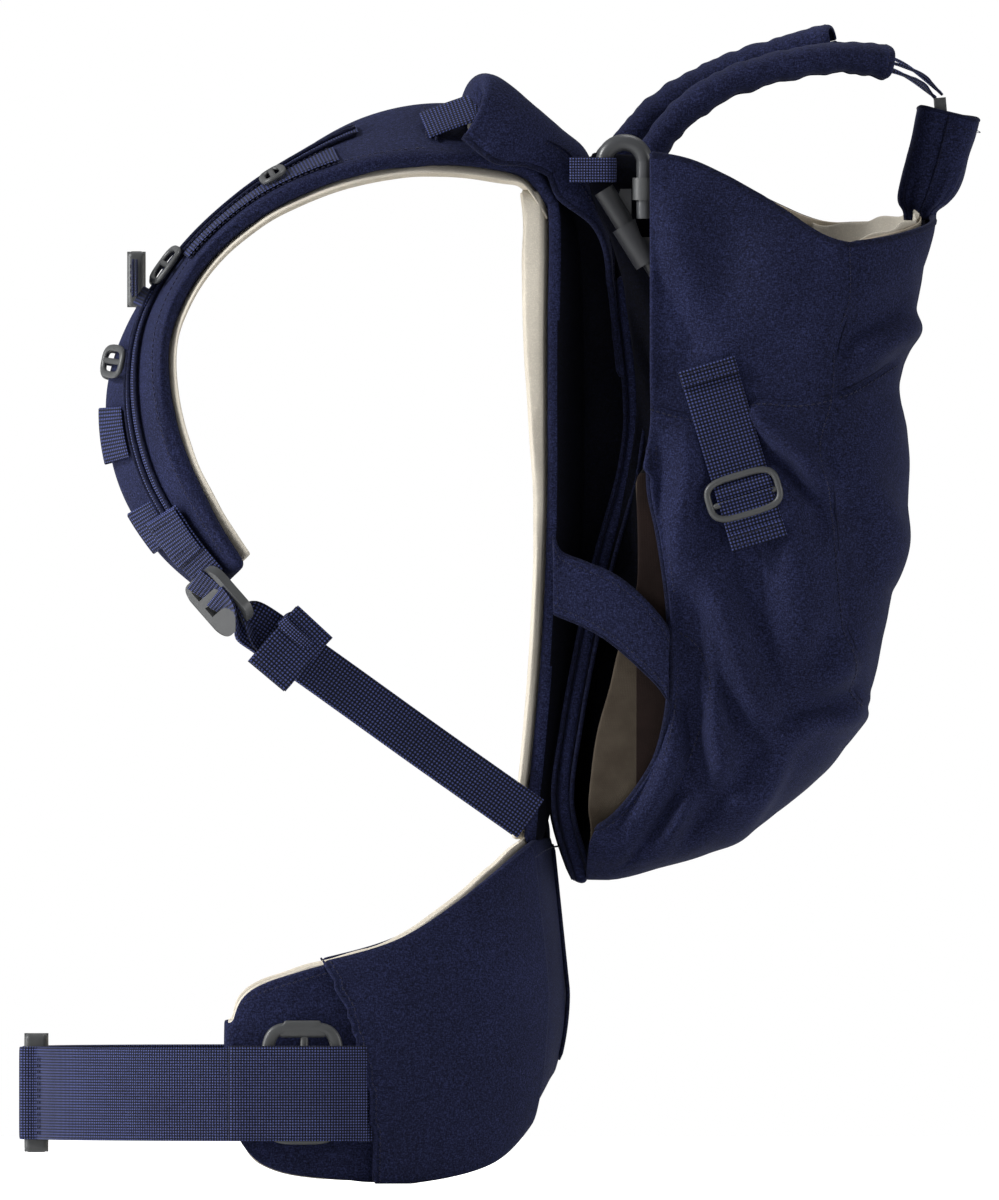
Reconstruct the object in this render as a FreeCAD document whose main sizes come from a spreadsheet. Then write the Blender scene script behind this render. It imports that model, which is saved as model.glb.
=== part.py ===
"""Soft baby carrier: an adult harness with a child seat hung behind it, in millimetres.

+Z is up, the wearer faces -X, and the carrier is symmetric about the plane Y = 0. The origin is on the
ground plane under the middle of the lumbar pad. Padded parts are three layers: cover, foam and lining.
"""
import FreeCAD, Part
import math
import os

import Sketcher
from FreeCAD import Placement, Rotation, Vector

doc = FreeCAD.newDocument("soft_baby_carrier")

# ------------------------------------------------------------------ driving dimensions, in millimetres
DIMENSIONS = {
    "gap": 0.4,                   # clearance between pieces that touch in cloth
    "running_gap": 0.5,           # clearance round a piece that slides
    "cover_thickness": 2.2,
    "foam_thickness": 8.0,
    "lining_thickness": 2.0,
    "webbing_thickness": 1.8,
    "belt_webbing_width": 50.0,
    "strap_webbing_width": 25.0,
    "side_webbing_width": 31.0,
    "panel_half_width": 105.0,
    "strap_width": 68.0,
    "crossbar_radius": 5.0,
    "crossbar_length": 176.0,
    "crossbar_x": -44.0,
    "crossbar_z": 571.0,
    "stay_width": 18.0,
    "stay_thickness": 2.0,
    "stay_spacing": 60.0,
    "buckle_height": 64.0,
    "buckle_depth": 13.0,
    "buckle_length": 46.0,
    "buckle_x": -282.0,
    "belt_centre_z": 50.0,
    "wall": 2.4,                  # moulded wall of a buckle
    "prong_length": 26.0,
    "hook_tube_radius": 4.5,
    "hook_bend_radius": 11.0,
    "frame_rod_radius": 4.0,
    "frame_collar_radius": 8.0,
    "frame_side_y": 92.0,
    "button_radius": 2.2,
    "hoop_depth": 150.0,
    "pouch_wall": 3.0,
    "pouch_lining_wall": 1.6,
    "tongue_width": 20.0,
    "tongue_thickness": 3.0,
    "tongue_length": 22.0,
    "chest_buckle_height": 30.0,
    "chest_buckle_length": 34.0,
    "chest_buckle_depth": 10.0,
    "lock_width": 38.0,
    "lock_length": 36.0,
    "lock_thickness": 5.0,
    "slider_bar": 5.0,
    "adjuster_height": 62.0,
    "adjuster_length": 34.0,
}
sheet = doc.addObject("Spreadsheet::Sheet", "Dimensions")
for row, (alias, value) in enumerate(DIMENSIONS.items(), start=1):
    sheet.set(f"A{row}", alias)
    sheet.set(f"B{row}", str(value))
    sheet.setAlias(f"B{row}", alias)
doc.recompute()

X_AXIS, Y_AXIS, Z_AXIS = Vector(1, 0, 0), Vector(0, 1, 0), Vector(0, 0, 1)
parts = []


def size(alias):
    """The value of a driving dimension, read from the sheet."""
    return float(getattr(sheet, alias))


def cell(text):
    """An expression with each driving dimension written as a reference to its sheet cell."""
    words = text.replace("(", " ( ").replace(")", " ) ").split()
    return " ".join(f"Dimensions.{word}" if word in DIMENSIONS else word for word in words)


def node(piece, label):
    """Marks a finished object as a node that is written to its own file."""
    piece.Label = label
    parts.append(piece)
    return piece


# ------------------------------------------------------------------ building blocks
def block(length, width, height, corner, turn=None):
    """A Part::Box whose three sizes are expressions of the sheet, with its low corner at corner."""
    made = doc.addObject("Part::Box", "Block")
    for name, text in (("Length", length), ("Width", width), ("Height", height)):
        made.setExpression(name, cell(text))
    made.Placement = Placement(Vector(*corner), turn or Rotation())
    return made


def rod(radius, length, start, direction):
    """A Part::Cylinder from start along direction, with radius and length as expressions."""
    made = doc.addObject("Part::Cylinder", "Rod")
    made.setExpression("Radius", cell(radius))
    made.setExpression("Height", cell(length))
    made.Placement = Placement(Vector(*start), Rotation(Z_AXIS, Vector(*direction)))
    return made


def bend(radius, tube_radius, centre, turn, start_angle, end_angle):
    """A Part::Torus sector: a bent tube round centre, swept between two angles."""
    made = doc.addObject("Part::Torus", "Bend")
    made.setExpression("Radius1", cell(radius))
    made.setExpression("Radius2", cell(tube_radius))
    made.Angle3 = end_angle - start_angle
    spin = Rotation(Z_AXIS, start_angle)
    made.Placement = Placement(Vector(*centre), turn.multiply(spin))
    return made


def cut(base, *tools):
    """base with every tool removed."""
    for tool in tools:
        made = doc.addObject("Part::Cut", "Cut")
        made.Base, made.Tool = base, tool
        base = made
    return base


def fuse(*shapes):
    """One solid from several overlapping ones."""
    made = doc.addObject("Part::MultiFuse", "Fused")
    made.Shapes = list(shapes)
    made.Refine = True
    return made


def mirrored(piece):
    """The same piece on the other side of the plane Y = 0."""
    made = doc.addObject("Part::Mirroring", "Mirrored")
    made.Source = piece
    made.Normal = Y_AXIS
    return made


def group(*pieces):
    """Separate solids kept in one node."""
    made = doc.addObject("Part::Compound", "Group")
    made.Links = list(pieces)
    return made


def both_sides(piece):
    return group(piece, mirrored(piece))


def formed(shape, mirror=False):
    """A Part::Feature for a shape that no feature makes, such as a loft of computed sections."""
    made = doc.addObject("Part::Feature", "Formed")
    made.Shape = shape.mirror(Vector(), Y_AXIS) if mirror else shape
    return made


def rounded_plate(length, width, thickness, corner_radius, slots, place):
    """A PartDesign plate in its own XY plane with rounded corners and rectangular slots.

    length (X), width (Y) and thickness are expressions. Each slot is (centre x, length, width) with
    both sizes as expressions. place carries the finished plate to where it belongs.
    """
    body = doc.addObject("PartDesign::Body", "Plate")
    plane = next(f for f in body.Origin.OriginFeatures if f.Role == "XY_Plane")
    outline = body.newObject("Sketcher::SketchObject", "Outline")
    outline.AttachmentSupport = [(plane, "")]
    outline.MapMode = "FlatFace"
    add_rectangle(outline, 0.0, length, width)
    for centre_x, slot_length, slot_width in slots:
        add_rectangle(outline, centre_x, slot_length, slot_width)
    pad = body.newObject("PartDesign::Pad", "Thickness")
    pad.Profile = outline
    pad.setExpression("Length", cell(thickness))
    pad.Midplane = True
    doc.recompute()
    corners = []
    box = pad.Shape.BoundBox
    for number, edge in enumerate(pad.Shape.Edges, start=1):
        ends = [v.Point for v in edge.Vertexes]
        upright = len(ends) == 2 and abs(ends[0].x - ends[1].x) + abs(ends[0].y - ends[1].y) < 1e-6
        if upright and abs(abs(ends[0].x) - box.XMax) < 1e-4 and abs(abs(ends[0].y) - box.YMax) < 1e-4:
            corners.append(f"Edge{number}")
    rounding = body.newObject("PartDesign::Fillet", "Corners")
    rounding.Base = (pad, corners)
    rounding.Radius = corner_radius
    body.Tip = rounding
    body.Placement = place
    return body


def add_rectangle(outline, centre_x, length, width):
    """Adds a rectangle centred at (centre_x, 0), with its two sizes bound to the sheet."""
    half_x, half_y = 5.0, 4.0
    first = outline.GeometryCount
    corners = [(centre_x + sx * half_x, sy * half_y) for sx, sy in ((-1, -1), (1, -1), (1, 1), (-1, 1))]
    for start, end in zip(corners, corners[1:] + corners[:1]):
        outline.addGeometry(Part.LineSegment(Vector(*start, 0), Vector(*end, 0)), False)
    for side in range(4):
        outline.addConstraint(Sketcher.Constraint("Coincident", first + side, 2, first + (side + 1) % 4, 1))
    for side in (0, 2):
        outline.addConstraint(Sketcher.Constraint("Horizontal", first + side))
        outline.addConstraint(Sketcher.Constraint("Vertical", first + side + 1))
    middle = outline.addGeometry(Part.Point(Vector(centre_x, 0, 0)), True)
    outline.addConstraint(Sketcher.Constraint("Symmetric", first, 1, first + 2, 1, middle, 1))
    outline.addConstraint(Sketcher.Constraint("PointOnObject", middle, 1, -1))
    if abs(centre_x) < 1e-9:
        outline.addConstraint(Sketcher.Constraint("PointOnObject", middle, 1, -2))
    else:
        outline.addConstraint(Sketcher.Constraint("DistanceX", -1, 1, middle, 1, centre_x))
    along = outline.addConstraint(Sketcher.Constraint("DistanceX", first, 1, first, 2, 2 * half_x))
    across = outline.addConstraint(Sketcher.Constraint("DistanceY", first + 1, 1, first + 1, 2, 2 * half_y))
    outline.setExpression(f"Constraints[{along}]", cell(length))
    outline.setExpression(f"Constraints[{across}]", cell(width))


def extruded(outline, low_y, high_y):
    """A solid from a closed (x, z) outline, running from low_y to high_y."""
    points = [Vector(x, low_y, z) for x, z in outline]
    wire = Part.makePolygon(points + points[:1])
    return Part.Face(wire).extrude(Vector(0, high_y - low_y, 0))


def quad(centre, across, half_width, out, low, high):
    """A four-cornered section: across is its width direction and out its thickness direction."""
    sides = ((half_width, low), (half_width, high), (-half_width, high), (-half_width, low))
    points = [centre + across * s + out * t for s, t in sides]
    return Part.makePolygon(points + points[:1])


def loft(sections):
    """A ruled solid through a list of sections, turned right side out."""
    made = Part.makeLoft(sections, True, True)
    if made.Volume < 0:
        made.reverse()
    return made


def layer_bounds():
    """Low and high offsets of lining, foam and cover from a pad's middle surface."""
    gap = size("gap")
    half_foam = size("foam_thickness") / 2
    lining = (-half_foam - gap - size("lining_thickness"), -half_foam - gap)
    cover = (half_foam + gap, half_foam + gap + size("cover_thickness"))
    return {"lining": lining, "foam": (-half_foam, half_foam), "cover": cover}


LAYERS = layer_bounds()
PAD_OUTER = LAYERS["cover"][1]
PAD_INNER = LAYERS["lining"][0]


# ------------------------------------------------------------------ back panel
# Middle surface of the panel in side view: (x, z, half width).
PANEL_STATIONS = ((-15, 196, 84), (-8, 240, 92), (-1, 300, 100), (3, 370, 105), (3, 460, 105), (-1, 522, 92))


PANEL_KNEE = 72
PANEL_CURL = 0.3


def panel_layer(low, high):
    """One layer of the back panel. Its middle is flat and its sides curl round the wearer's back."""
    sections = []
    for x, z, half_width in PANEL_STATIONS:
        side_x = x - (half_width - PANEL_KNEE) * PANEL_CURL
        across = ((side_x, -half_width), (x, -PANEL_KNEE), (x, PANEL_KNEE), (side_x, half_width))
        inner = [Vector(middle + low, y, z) for middle, y in across]
        outer = [Vector(middle + high, y, z) for middle, y in reversed(across)]
        points = inner + outer
        sections.append(Part.makePolygon(points + points[:1]))
    return loft(sections)


def back_panel():
    node(formed(panel_layer(*LAYERS["lining"])), "back_panel_lining")
    node(formed(panel_layer(*LAYERS["foam"])), "back_panel_foam")
    stay_start = LAYERS["foam"][1] + size("gap")
    stay_end = stay_start + size("stay_thickness")
    cover_start = stay_end + size("gap")
    node(formed(panel_layer(cover_start, cover_start + size("cover_thickness"))), "back_panel_cover")
    stays = []
    for side in (-1, 1):
        sections = []
        for x, z, _ in PANEL_STATIONS:
            centre = Vector(x, side * size("stay_spacing"), z)
            sections.append(quad(centre, Y_AXIS, size("stay_width") / 2, X_AXIS, stay_start, stay_end))
        stays.append(formed(loft(sections)))
    node(group(*stays), "back_stays")


def top_bar():
    """The cross tube at the top of the back panel, with an end cap on each side."""
    half = size("crossbar_length") / 2
    x, z = size("crossbar_x"), size("crossbar_z")
    tube = rod("crossbar_radius", "crossbar_length", (x, -half, z), (0, 1, 0))
    bore = rod("crossbar_radius - 1.2", "crossbar_length", (x, -half, z), (0, 1, 0))
    node(cut(tube, bore), "top_crossbar")
    plug = rod("crossbar_radius - 1.2 - 0.05", "8", (x, -half, z), (0, 1, 0))
    head = rod("crossbar_radius + 0.8", "3", (x, -half - 3, z), (0, 1, 0))
    node(both_sides(fuse(plug, head)), "crossbar_end_caps")


# The hood over the crossbar: outer line from its front lip, over the bar and down behind the panel.
HOOD_OUTER = ((-53, 574), (-52, 590), (-43, 600), (-33, 598), (-12, 581), (14, 560), (23, 540), (27, 522), (29, 500))
HOOD_INNER = ((25.5, 500), (23.5, 521), (19.5, 538), (11, 556), (-14, 577.5), (-33, 594), (-43, 596), (-48.5, 588),
              (-49.5, 574))


def top_hood():
    hood = extruded(HOOD_OUTER + HOOD_INNER, -86, 86)
    # The straps and the load lifters pass through openings in the cloth.
    x, z = size("crossbar_x"), size("crossbar_z")
    strap = strap_band(PAD_INNER - 0.6, PAD_OUTER + 0.6)
    lifter_slot = Part.makeBox(16, 27, 14, Vector(x - 16, -85, z - 1))
    for opening in (strap, lifter_slot):
        hood = hood.cut(opening).cut(opening.mirror(Vector(0, 0, 0), Y_AXIS))
    node(formed(largest(hood)), "top_hood")


# ------------------------------------------------------------------ shoulder straps
# Middle line of the left strap from the back panel over the shoulder and down the chest:
# (x, y, z, share of the full width, tilt of the face towards the side in degrees).
STRAP_STATIONS = (
    (-3, -56, 531, 0.98, 4), (-11, -59, 550, 1.0, 16), (-34, -65, 562, 1.05, 24), (-70, -73, 566, 1.08, 25),
    (-103, -80, 560, 1.03, 22), (-135, -87, 546, 1.0, 14), (-167, -94, 526, 1.0, 8), (-197, -101, 498, 1.0, 8),
    (-219, -108, 463, 1.0, 16), (-226, -114, 424, 1.02, 28), (-219, -120, 386, 1.0, 34), (-201, -126, 354, 0.9, 34),
    (-180, -130, 330, 0.72, 30),
)


def strap_frames():
    """(centre, across, out, half width) at each station: across points away from the neck."""
    frames = []
    last = len(STRAP_STATIONS) - 1
    for i, (x, y, z, share, tilt) in enumerate(STRAP_STATIONS):
        before, after = STRAP_STATIONS[max(i - 1, 0)], STRAP_STATIONS[min(i + 1, last)]
        along = Vector(after[0] - before[0], 0, after[2] - before[2]).normalize()
        inward = Vector(-along.z, 0, along.x)
        lean = math.radians(tilt)
        across = inward * math.sin(lean) - Y_AXIS * math.cos(lean)
        out = -inward * math.cos(lean) - Y_AXIS * math.sin(lean)
        frames.append((Vector(x, y, z), across, out, share * size("strap_width") / 2))
    return frames


STRAP = strap_frames()


def strap_band(low, high, first=0, last=None, centre_share=0.0, half_width=None):
    """A band that follows the strap between two offsets, over a range of stations."""
    sections = []
    for centre, across, out, half in STRAP[first:last]:
        middle = centre + across * (half * centre_share)
        sections.append(quad(middle, across, half if half_width is None else half_width, out, low, high))
    return loft(sections)


def strap_cross_piece(station, ahead, half_length, low, high, half_width, shift=0.0):
    """A flat piece across the strap at a share of the way from a station to the next one."""
    here, there = STRAP[station], STRAP[station + 1]
    centre = here[0] * (1 - ahead) + there[0] * ahead
    across = (here[1] * (1 - ahead) + there[1] * ahead).normalize()
    out = (here[2] * (1 - ahead) + there[2] * ahead).normalize()
    along = across.cross(out).normalize()
    centre = centre + across * shift
    ends = [quad(centre + along * s, across, half_width, out, low, high) for s in (-half_length, half_length)]
    return loft(ends)


def shoulder_straps():
    gap = size("gap")
    x, z = size("crossbar_x"), size("crossbar_z")
    channel = Part.makeCylinder(size("crossbar_radius") + 1.8, 400, Vector(x, -200, z), Y_AXIS)
    for name, bounds in LAYERS.items():
        layer = strap_band(*bounds).cut(channel)
        node(both_sides(formed(layer)), f"shoulder_strap_{name}s")
    zip_band = formed(strap_band(PAD_OUTER + gap, PAD_OUTER + gap + 1.6, 3, 13, -0.28, 3.5))
    node(both_sides(zip_band), "strap_zips")


FITTING_BASE = PAD_OUTER + 2 * size("gap") + 3.0


def strap_fittings():
    """Webbing loops and the lower end tab, sewn to the strap's outer face, and the load lifter."""
    base = FITTING_BASE
    loops = [
        strap_cross_piece(9, 0.45, 11, base, base + 1.6, 12, -22),
        strap_cross_piece(10, 0.95, 9, base, base + 1.6, 10, -20),
        strap_cross_piece(8, 0.55, 9, base, base + 3.0, 11, -4),
    ]
    left = [formed(shape) for shape in loops]
    right = [formed(shape, True) for shape in loops]
    node(group(*left, *right), "strap_webbing_loops")
    tab = strap_cross_piece(11, 0.3, 13, base, base + 3.2, size("strap_webbing_width") / 2 + 3, 6)
    node(both_sides(formed(tab)), "strap_end_tabs")
    # The load lifter runs from above the strap's face to the top of the crossbar.
    x, z = size("crossbar_x"), size("crossbar_z")
    reach = size("crossbar_radius") + size("gap")
    lift = reach + size("webbing_thickness")
    outline = (
        (-88, z + 17.4), (x - 4, z + lift), (x + 5, z + lift), (x + 5, z + reach), (x - 4, z + reach),
        (-88, z + 15.6),
    )
    lifter = extruded(outline, -84, -84 + size("strap_webbing_width"))
    node(both_sides(formed(lifter)), "load_lifter_webbings")


def lock_place():
    """Where the left ladder lock sits: centre, rotation and the line of its upper bar."""
    centre, across, out, _ = STRAP[-1]
    along = across.cross(out)
    if along.z > 0:
        along = along * -1
    middle = centre + along * 9 + out * (PAD_OUTER + 7.5)
    turn = Rotation(along, across, along.cross(across), "XYZ")
    return middle, turn, along, across, out


def ladder_locks():
    """Each lock is a slotted plate with a lifted thumb tab at its lower end."""
    middle, turn, along, across, out = lock_place()
    webbing = "strap_webbing_width + 2 * running_gap"
    slots = ((-10.0, "6", webbing), (1.0, "6", webbing))
    plate = rounded_plate("lock_length", "lock_width", "lock_thickness", 9.0, slots, Placement(middle, turn))
    node(plate, "ladder_lock_left")
    node(mirrored(plate), "ladder_lock_right")


def lower_webbings():
    """The webbing from each ladder lock back to the bottom corner of the back panel."""
    middle, _, along, across, out = lock_place()
    half = size("strap_webbing_width") / 2
    thickness = size("webbing_thickness")
    start = middle - out * (size("lock_thickness") / 2 + 2.6)
    end = Vector(-16, -104, 198)
    path = (end - start).normalize()
    upright = Vector(-path.z, 0, path.x).normalize()
    sections = [quad(start, across * -1, half, out, 0, thickness)]
    for share, blend_share in ((0.12, 0.45), (0.28, 0.9), (0.5, 1.0), (1.0, 1.0)):
        width = (across * -1 * (1 - blend_share) + upright * blend_share).normalize()
        normal = path.cross(width).normalize()
        if normal.y > 0:
            normal = normal * -1
        sections.append(quad(start + (end - start) * share, width, half, normal, 0, thickness))
    webbing = formed(loft(sections))
    # The folded spare end hangs below the lock, in front of the webbing.
    fold_centre = Vector(-147, -146, 287)
    fold_along = Vector(0.66, 0, -0.75)
    turn = Rotation(fold_along, Vector(0.75, 0, 0.66), Vector(0, -1, 0), "XYZ")
    fold = rounded_plate("34", "30", "8", 5.0, (), Placement(fold_centre, turn))
    node(group(webbing, mirrored(webbing), fold, mirrored(fold)), "lower_webbings")


# ------------------------------------------------------------------ hip belt
# Middle surface of the left half of the belt seen from above, with its height and the inward lean of its
# top edge: (x, y, lowest z, highest z, lean).
BELT_STATIONS = (
    (3, 0, 58, 190, 9), (1, -45, 56, 190, 9), (-10, -90, 38, 186, 8), (-38, -128, 14, 166, 6),
    (-86, -148, 3, 134, 3), (-136, -154, 4, 119, 1), (-166, -153, 16, 109, 0), (-178, -151, 36, 92, 0),
)
BELT_KNEE_Z = 105.0


def belt_normal(i):
    before = BELT_STATIONS[max(i - 1, 0)]
    after = BELT_STATIONS[min(i + 1, len(BELT_STATIONS) - 1)]
    if i == 0:
        return Vector(1, 0, 0)
    run = Vector(after[0] - before[0], after[1] - before[1], 0).normalize()
    return Vector(-run.y, run.x, 0)


def belt_section(x, y, low_z, high_z, lean, normal, low, high):
    """A section of the belt with a knee at mid height, leaning inward above it."""
    knee = min(BELT_KNEE_Z, (low_z + high_z) / 2 + 10)
    rise = ((low_z, 0), (knee, 0), (high_z, -lean))
    outer = [Vector(x, y, z) + normal * (high + shift) for z, shift in rise]
    inner = [Vector(x, y, z) + normal * (low + shift) for z, shift in reversed(rise)]
    points = outer + inner
    return Part.makePolygon(points + points[:1])


def belt_layer(low, high, first, last):
    sections = []
    for i in range(first, last):
        sections.append(belt_section(*BELT_STATIONS[i], belt_normal(i), low, high))
    return loft(sections)


def lumbar_layer(low, high):
    """The middle of the belt, one piece across both sides."""
    left = [belt_section(*BELT_STATIONS[i], belt_normal(i), low, high) for i in (1, 0)]
    x, y, low_z, high_z, lean = BELT_STATIONS[1]
    normal = belt_normal(1)
    right = belt_section(x, -y, low_z, high_z, lean, Vector(normal.x, -normal.y, 0), low, high)
    return loft(left + [right])


def hip_belt():
    for name, bounds in LAYERS.items():
        node(formed(lumbar_layer(*bounds)), f"lumbar_{name}")
        wing = belt_layer(*bounds, 1, len(BELT_STATIONS))
        # The wing starts a little outside the lumbar piece.
        trim = Part.makeBox(200, 45.4 * 2, 300, Vector(-100, -45.4, -20))
        wing = wing.cut(trim).Solids[0]
        node(both_sides(formed(wing)), f"hip_wing_{name}s")
    start = PAD_OUTER + size("gap")
    sections = [belt_section(*BELT_STATIONS[i], belt_normal(i), start, start + 1.8) for i in (2, 3, 4)]
    normal = belt_normal(4)
    sections.append(belt_section(-110, -151.2, 5, 125, 2, (normal + belt_normal(5)).normalize(), start, start + 1.8))
    node(both_sides(formed(loft(sections))), "hip_pockets")


def band(points, centre_z, height, low, high):
    """A strip of webbing on edge: points are (x, y) seen from above."""
    sections = []
    last = len(points) - 1
    for i, (x, y) in enumerate(points):
        before, after = points[max(i - 1, 0)], points[min(i + 1, last)]
        run = Vector(after[0] - before[0], after[1] - before[1], 0).normalize()
        normal = Vector(-run.y, run.x, 0)
        sections.append(quad(Vector(x, y, centre_z), Z_AXIS, height / 2, normal, low, high))
    return loft(sections)


# Seen from above: the belt webbing's line from the adjuster round to the buckle.
BELT_WEBBING = ((-112, -167), (-136, -169), (-180, -166), (-222, -148), (-253, -118), (-272, -84), (-280, -50))
BELT_TAIL = ((-122, -170.6), (-136, -171.6), (-160, -170.8), (-176, -169.4))


def belt_webbing():
    height = size("belt_webbing_width")
    thickness = size("webbing_thickness")
    centre_z = size("belt_centre_z")
    strip = formed(band(BELT_WEBBING, centre_z, height, 0, thickness))
    tail = formed(band(BELT_TAIL, centre_z, height, 0, thickness))
    node(group(strip, mirrored(strip), tail, mirrored(tail)), "belt_webbings")
    # The adjuster is a tall slotted plate between the wing and the webbing.
    turn = Rotation(Vector(1, 0.06, 0), Z_AXIS, Vector(0, -1, 0), "XYZ")
    place = Placement(Vector(-140, -163.6, centre_z + 5), turn)
    slots = ((-8.0, "5", "belt_webbing_width - 2"), (8.0, "5", "belt_webbing_width - 2"))
    plate = rounded_plate("adjuster_length", "adjuster_height", "3", 12.0, slots, place)
    node(both_sides(plate), "belt_adjusters")


def side_release_buckle(prefix, place, height, depth, length, plug, web, button_slot):
    """A side-release buckle along +Y at place: socket behind the mating line, plug in front of it.

    height, depth and length are expressions for the socket's outer size. plug is the prong length, web
    the webbing width and button_slot the height of each side window, all as expressions.
    """
    half_height, half_depth = f"( {height} ) / 2", f"( {depth} ) / 2"

    def at(corner):
        return tuple(Vector(*corner) + place)

    def bound_block(sizes, low):
        """A block placed by expressions, low being its corner relative to place."""
        made = block(*sizes, (0, 0, 0))
        for axis, text, shift in zip("xyz", low, place):
            made.setExpression(f".Placement.Base.{axis}", cell(f"{text} + ( {shift} )"))
        return made

    outer = bound_block((depth, length, height), (f"-1 * {half_depth}", f"-1 * ( {length} )", f"-1 * {half_height}"))
    soft = doc.addObject("Part::Fillet", "RoundedSocket")
    doc.recompute()
    soft.Base = outer
    soft.Edges = [(n, 3.0, 3.0) for n in range(1, 13)]
    cavity = bound_block(
        (f"{depth} - 2 * wall", f"{plug} + 2", f"{height} - 4 * wall - 6"),
        (f"-1 * {half_depth} + wall", f"-1 * ( {plug} ) - 1", f"-1 * {half_height} + 2 * wall + 3"),
    )
    window = bound_block(
        (f"{depth} - 2 * wall", f"{button_slot}", f"{height} + 4"),
        (f"-1 * {half_depth} + wall", f"-1 * ( {plug} ) + 3", f"-1 * {half_height} - 2"),
    )
    web_slot = bound_block(
        (f"{depth} + 4", "4", f"{web} + 1"), (f"-1 * {half_depth} - 2", f"-1 * ( {length} ) + 4", f"-1 * ( {web} + 1 ) / 2")
    )
    node(cut(soft, cavity, window, web_slot), f"{prefix}_buckle_socket")

    gap = 0.6
    shoulder = bound_block(
        (depth, "6", height), (f"-1 * {half_depth}", f"{gap}", f"-1 * {half_height}")
    )
    rails = bound_block(
        (f"{depth} - 4", "14", f"{height} - 2"), (f"-1 * {half_depth} + 2", f"{gap} + 5", f"-1 * {half_height} + 1")
    )
    plug_slot = bound_block(
        (f"{depth} + 4", "4", f"{web} + 1"), (f"-1 * {half_depth} - 2", f"{gap} + 10", f"-1 * ( {web} + 1 ) / 2")
    )
    guide = bound_block(
        (f"{depth} - 2 * wall - 1", f"{plug} - 4", f"{height} / 6"),
        (f"-1 * {half_depth} + wall + 0.5", f"-1 * ( {plug} ) + 4 + {gap} + 1", f"-1 * ( {height} ) / 12"),
    )
    node(cut(fuse(shoulder, rails, guide), plug_slot), f"{prefix}_buckle_plug")

    # Two springy arms, each with a barb that stands in the socket's side window.
    arm_low = f"{half_height} - 2 * wall - 3 - 0.6 - 3.4"
    barb_reach = "2 * wall + 3 + 0.6 + 3.4 - 1"
    arms = []
    for sign in (1, -1):
        arm_corner = arm_low if sign > 0 else f"-1 * ( {arm_low} ) - 3.4"
        barb_corner = arm_low if sign > 0 else f"-1 * ( {arm_low} ) - ( {barb_reach} )"
        arm = bound_block(
            (f"{depth} - 2 * wall - 1", f"{plug}", "3.4"),
            (f"-1 * {half_depth} + wall + 0.5", f"-1 * ( {plug} ) + {gap} - 0.1", arm_corner),
        )
        barb = bound_block(
            (f"{depth} - 2 * wall - 1", f"{button_slot} - 2", barb_reach),
            (f"-1 * {half_depth} + wall + 0.5", f"-1 * ( {plug} ) + 4", barb_corner),
        )
        arms.append(fuse(arm, barb))
    node(group(*arms), f"{prefix}_buckle_latch_arms")


def waist_buckle():
    place = (size("buckle_x"), 0.0, size("belt_centre_z"))
    side_release_buckle(
        "waist", place, "buckle_height", "buckle_depth", "buckle_length", "prong_length", "belt_webbing_width", "14"
    )
    # The webbing's two ends: a fixed loop round the socket's bar, and one that travels with the plug.
    x, centre_z = size("buckle_x"), size("belt_centre_z")
    half = size("belt_webbing_width") / 2

    def loop(half_depth, low_y, high_y, wall):
        low, high = Vector(x - half_depth, low_y, centre_z - half), Vector(2 * half_depth, high_y - low_y, 2 * half)
        outer = Part.makeBox(*high, low)
        inner = Part.makeBox(high.x - 2 * wall, high.y - 2 * wall, 2 * half + 2, low + Vector(wall, wall, -1))
        return outer.cut(inner)

    fixed = loop(8.4, -48.6, -38.8, 1.5)
    node(formed(fixed), "belt_webbing_socket_loop")
    travelling = loop(6.8, 11.0, 22.4, 1.7)
    tail = Part.makeBox(1.8, 34, 2 * half, Vector(x - 2.3, 22.2, centre_z - half))
    node(formed(travelling.fuse(tail).removeSplitter()), "belt_webbing_plug_loop")


# ------------------------------------------------------------------ chest strap
CHEST_PLACE = (-228.0, 0.0, 489.0)


def chest_strap():
    """A short strap across the chest, with a buckle in the middle and a slider on each shoulder strap."""
    side_release_buckle(
        "chest", CHEST_PLACE, "chest_buckle_height", "chest_buckle_depth", "chest_buckle_length", "18", "20", "10"
    )
    x, _, z = CHEST_PLACE
    webs = []
    for y_low, y_high in ((-112, -34.5), (20.5, 112)):
        webs.append(block("webbing_thickness", str(y_high - y_low), "20", (x - 1, y_low, z - 10)))
    node(group(webs[0]), "chest_webbing_left")
    node(group(webs[1]), "chest_webbing_right")
    slider = formed(strap_cross_piece(7, 0.3, 11, FITTING_BASE, FITTING_BASE + 3.4, 13, 2))
    node(both_sides(slider), "chest_strap_sliders")


def strap_clips():
    """A small bar buckle on each strap's chest and another on its shoulder."""
    clip = formed(strap_cross_piece(8, 0.55, 5, FITTING_BASE + 3.4, FITTING_BASE + 8.4, 13, -4))
    upper = formed(strap_cross_piece(5, 0.25, 12, FITTING_BASE, FITTING_BASE + 3.4, 12, 16))
    node(group(clip, mirrored(clip), upper, mirrored(upper)), "strap_clips")


# ------------------------------------------------------------------ child seat
# Middle surface of the seat's front panel in side view: (x, z, half width).
FRONT_PANEL = (
    (33, 487, 82), (40, 424, 88), (37, 386, 90), (24, 338, 92), (16, 296, 92), (10, 250, 90),
    (9, 205, 84), (14, 174, 66),
)
# The pouch seen from above at each height: (z, front x, rear x, half width).
POUCH_LEVELS = (
    (167, 21, 34, 60), (178, 20, 72, 82), (197, 19, 112, 98), (232, 19, 150, 110), (262, 22, 164, 114),
    (296, 27, 174, 116), (348, 38, 185, 119), (408, 48, 190, 120), (462, 48, 196, 119), (515, 48, 202, 114),
    (562, 48, 206, 110),
)
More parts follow.
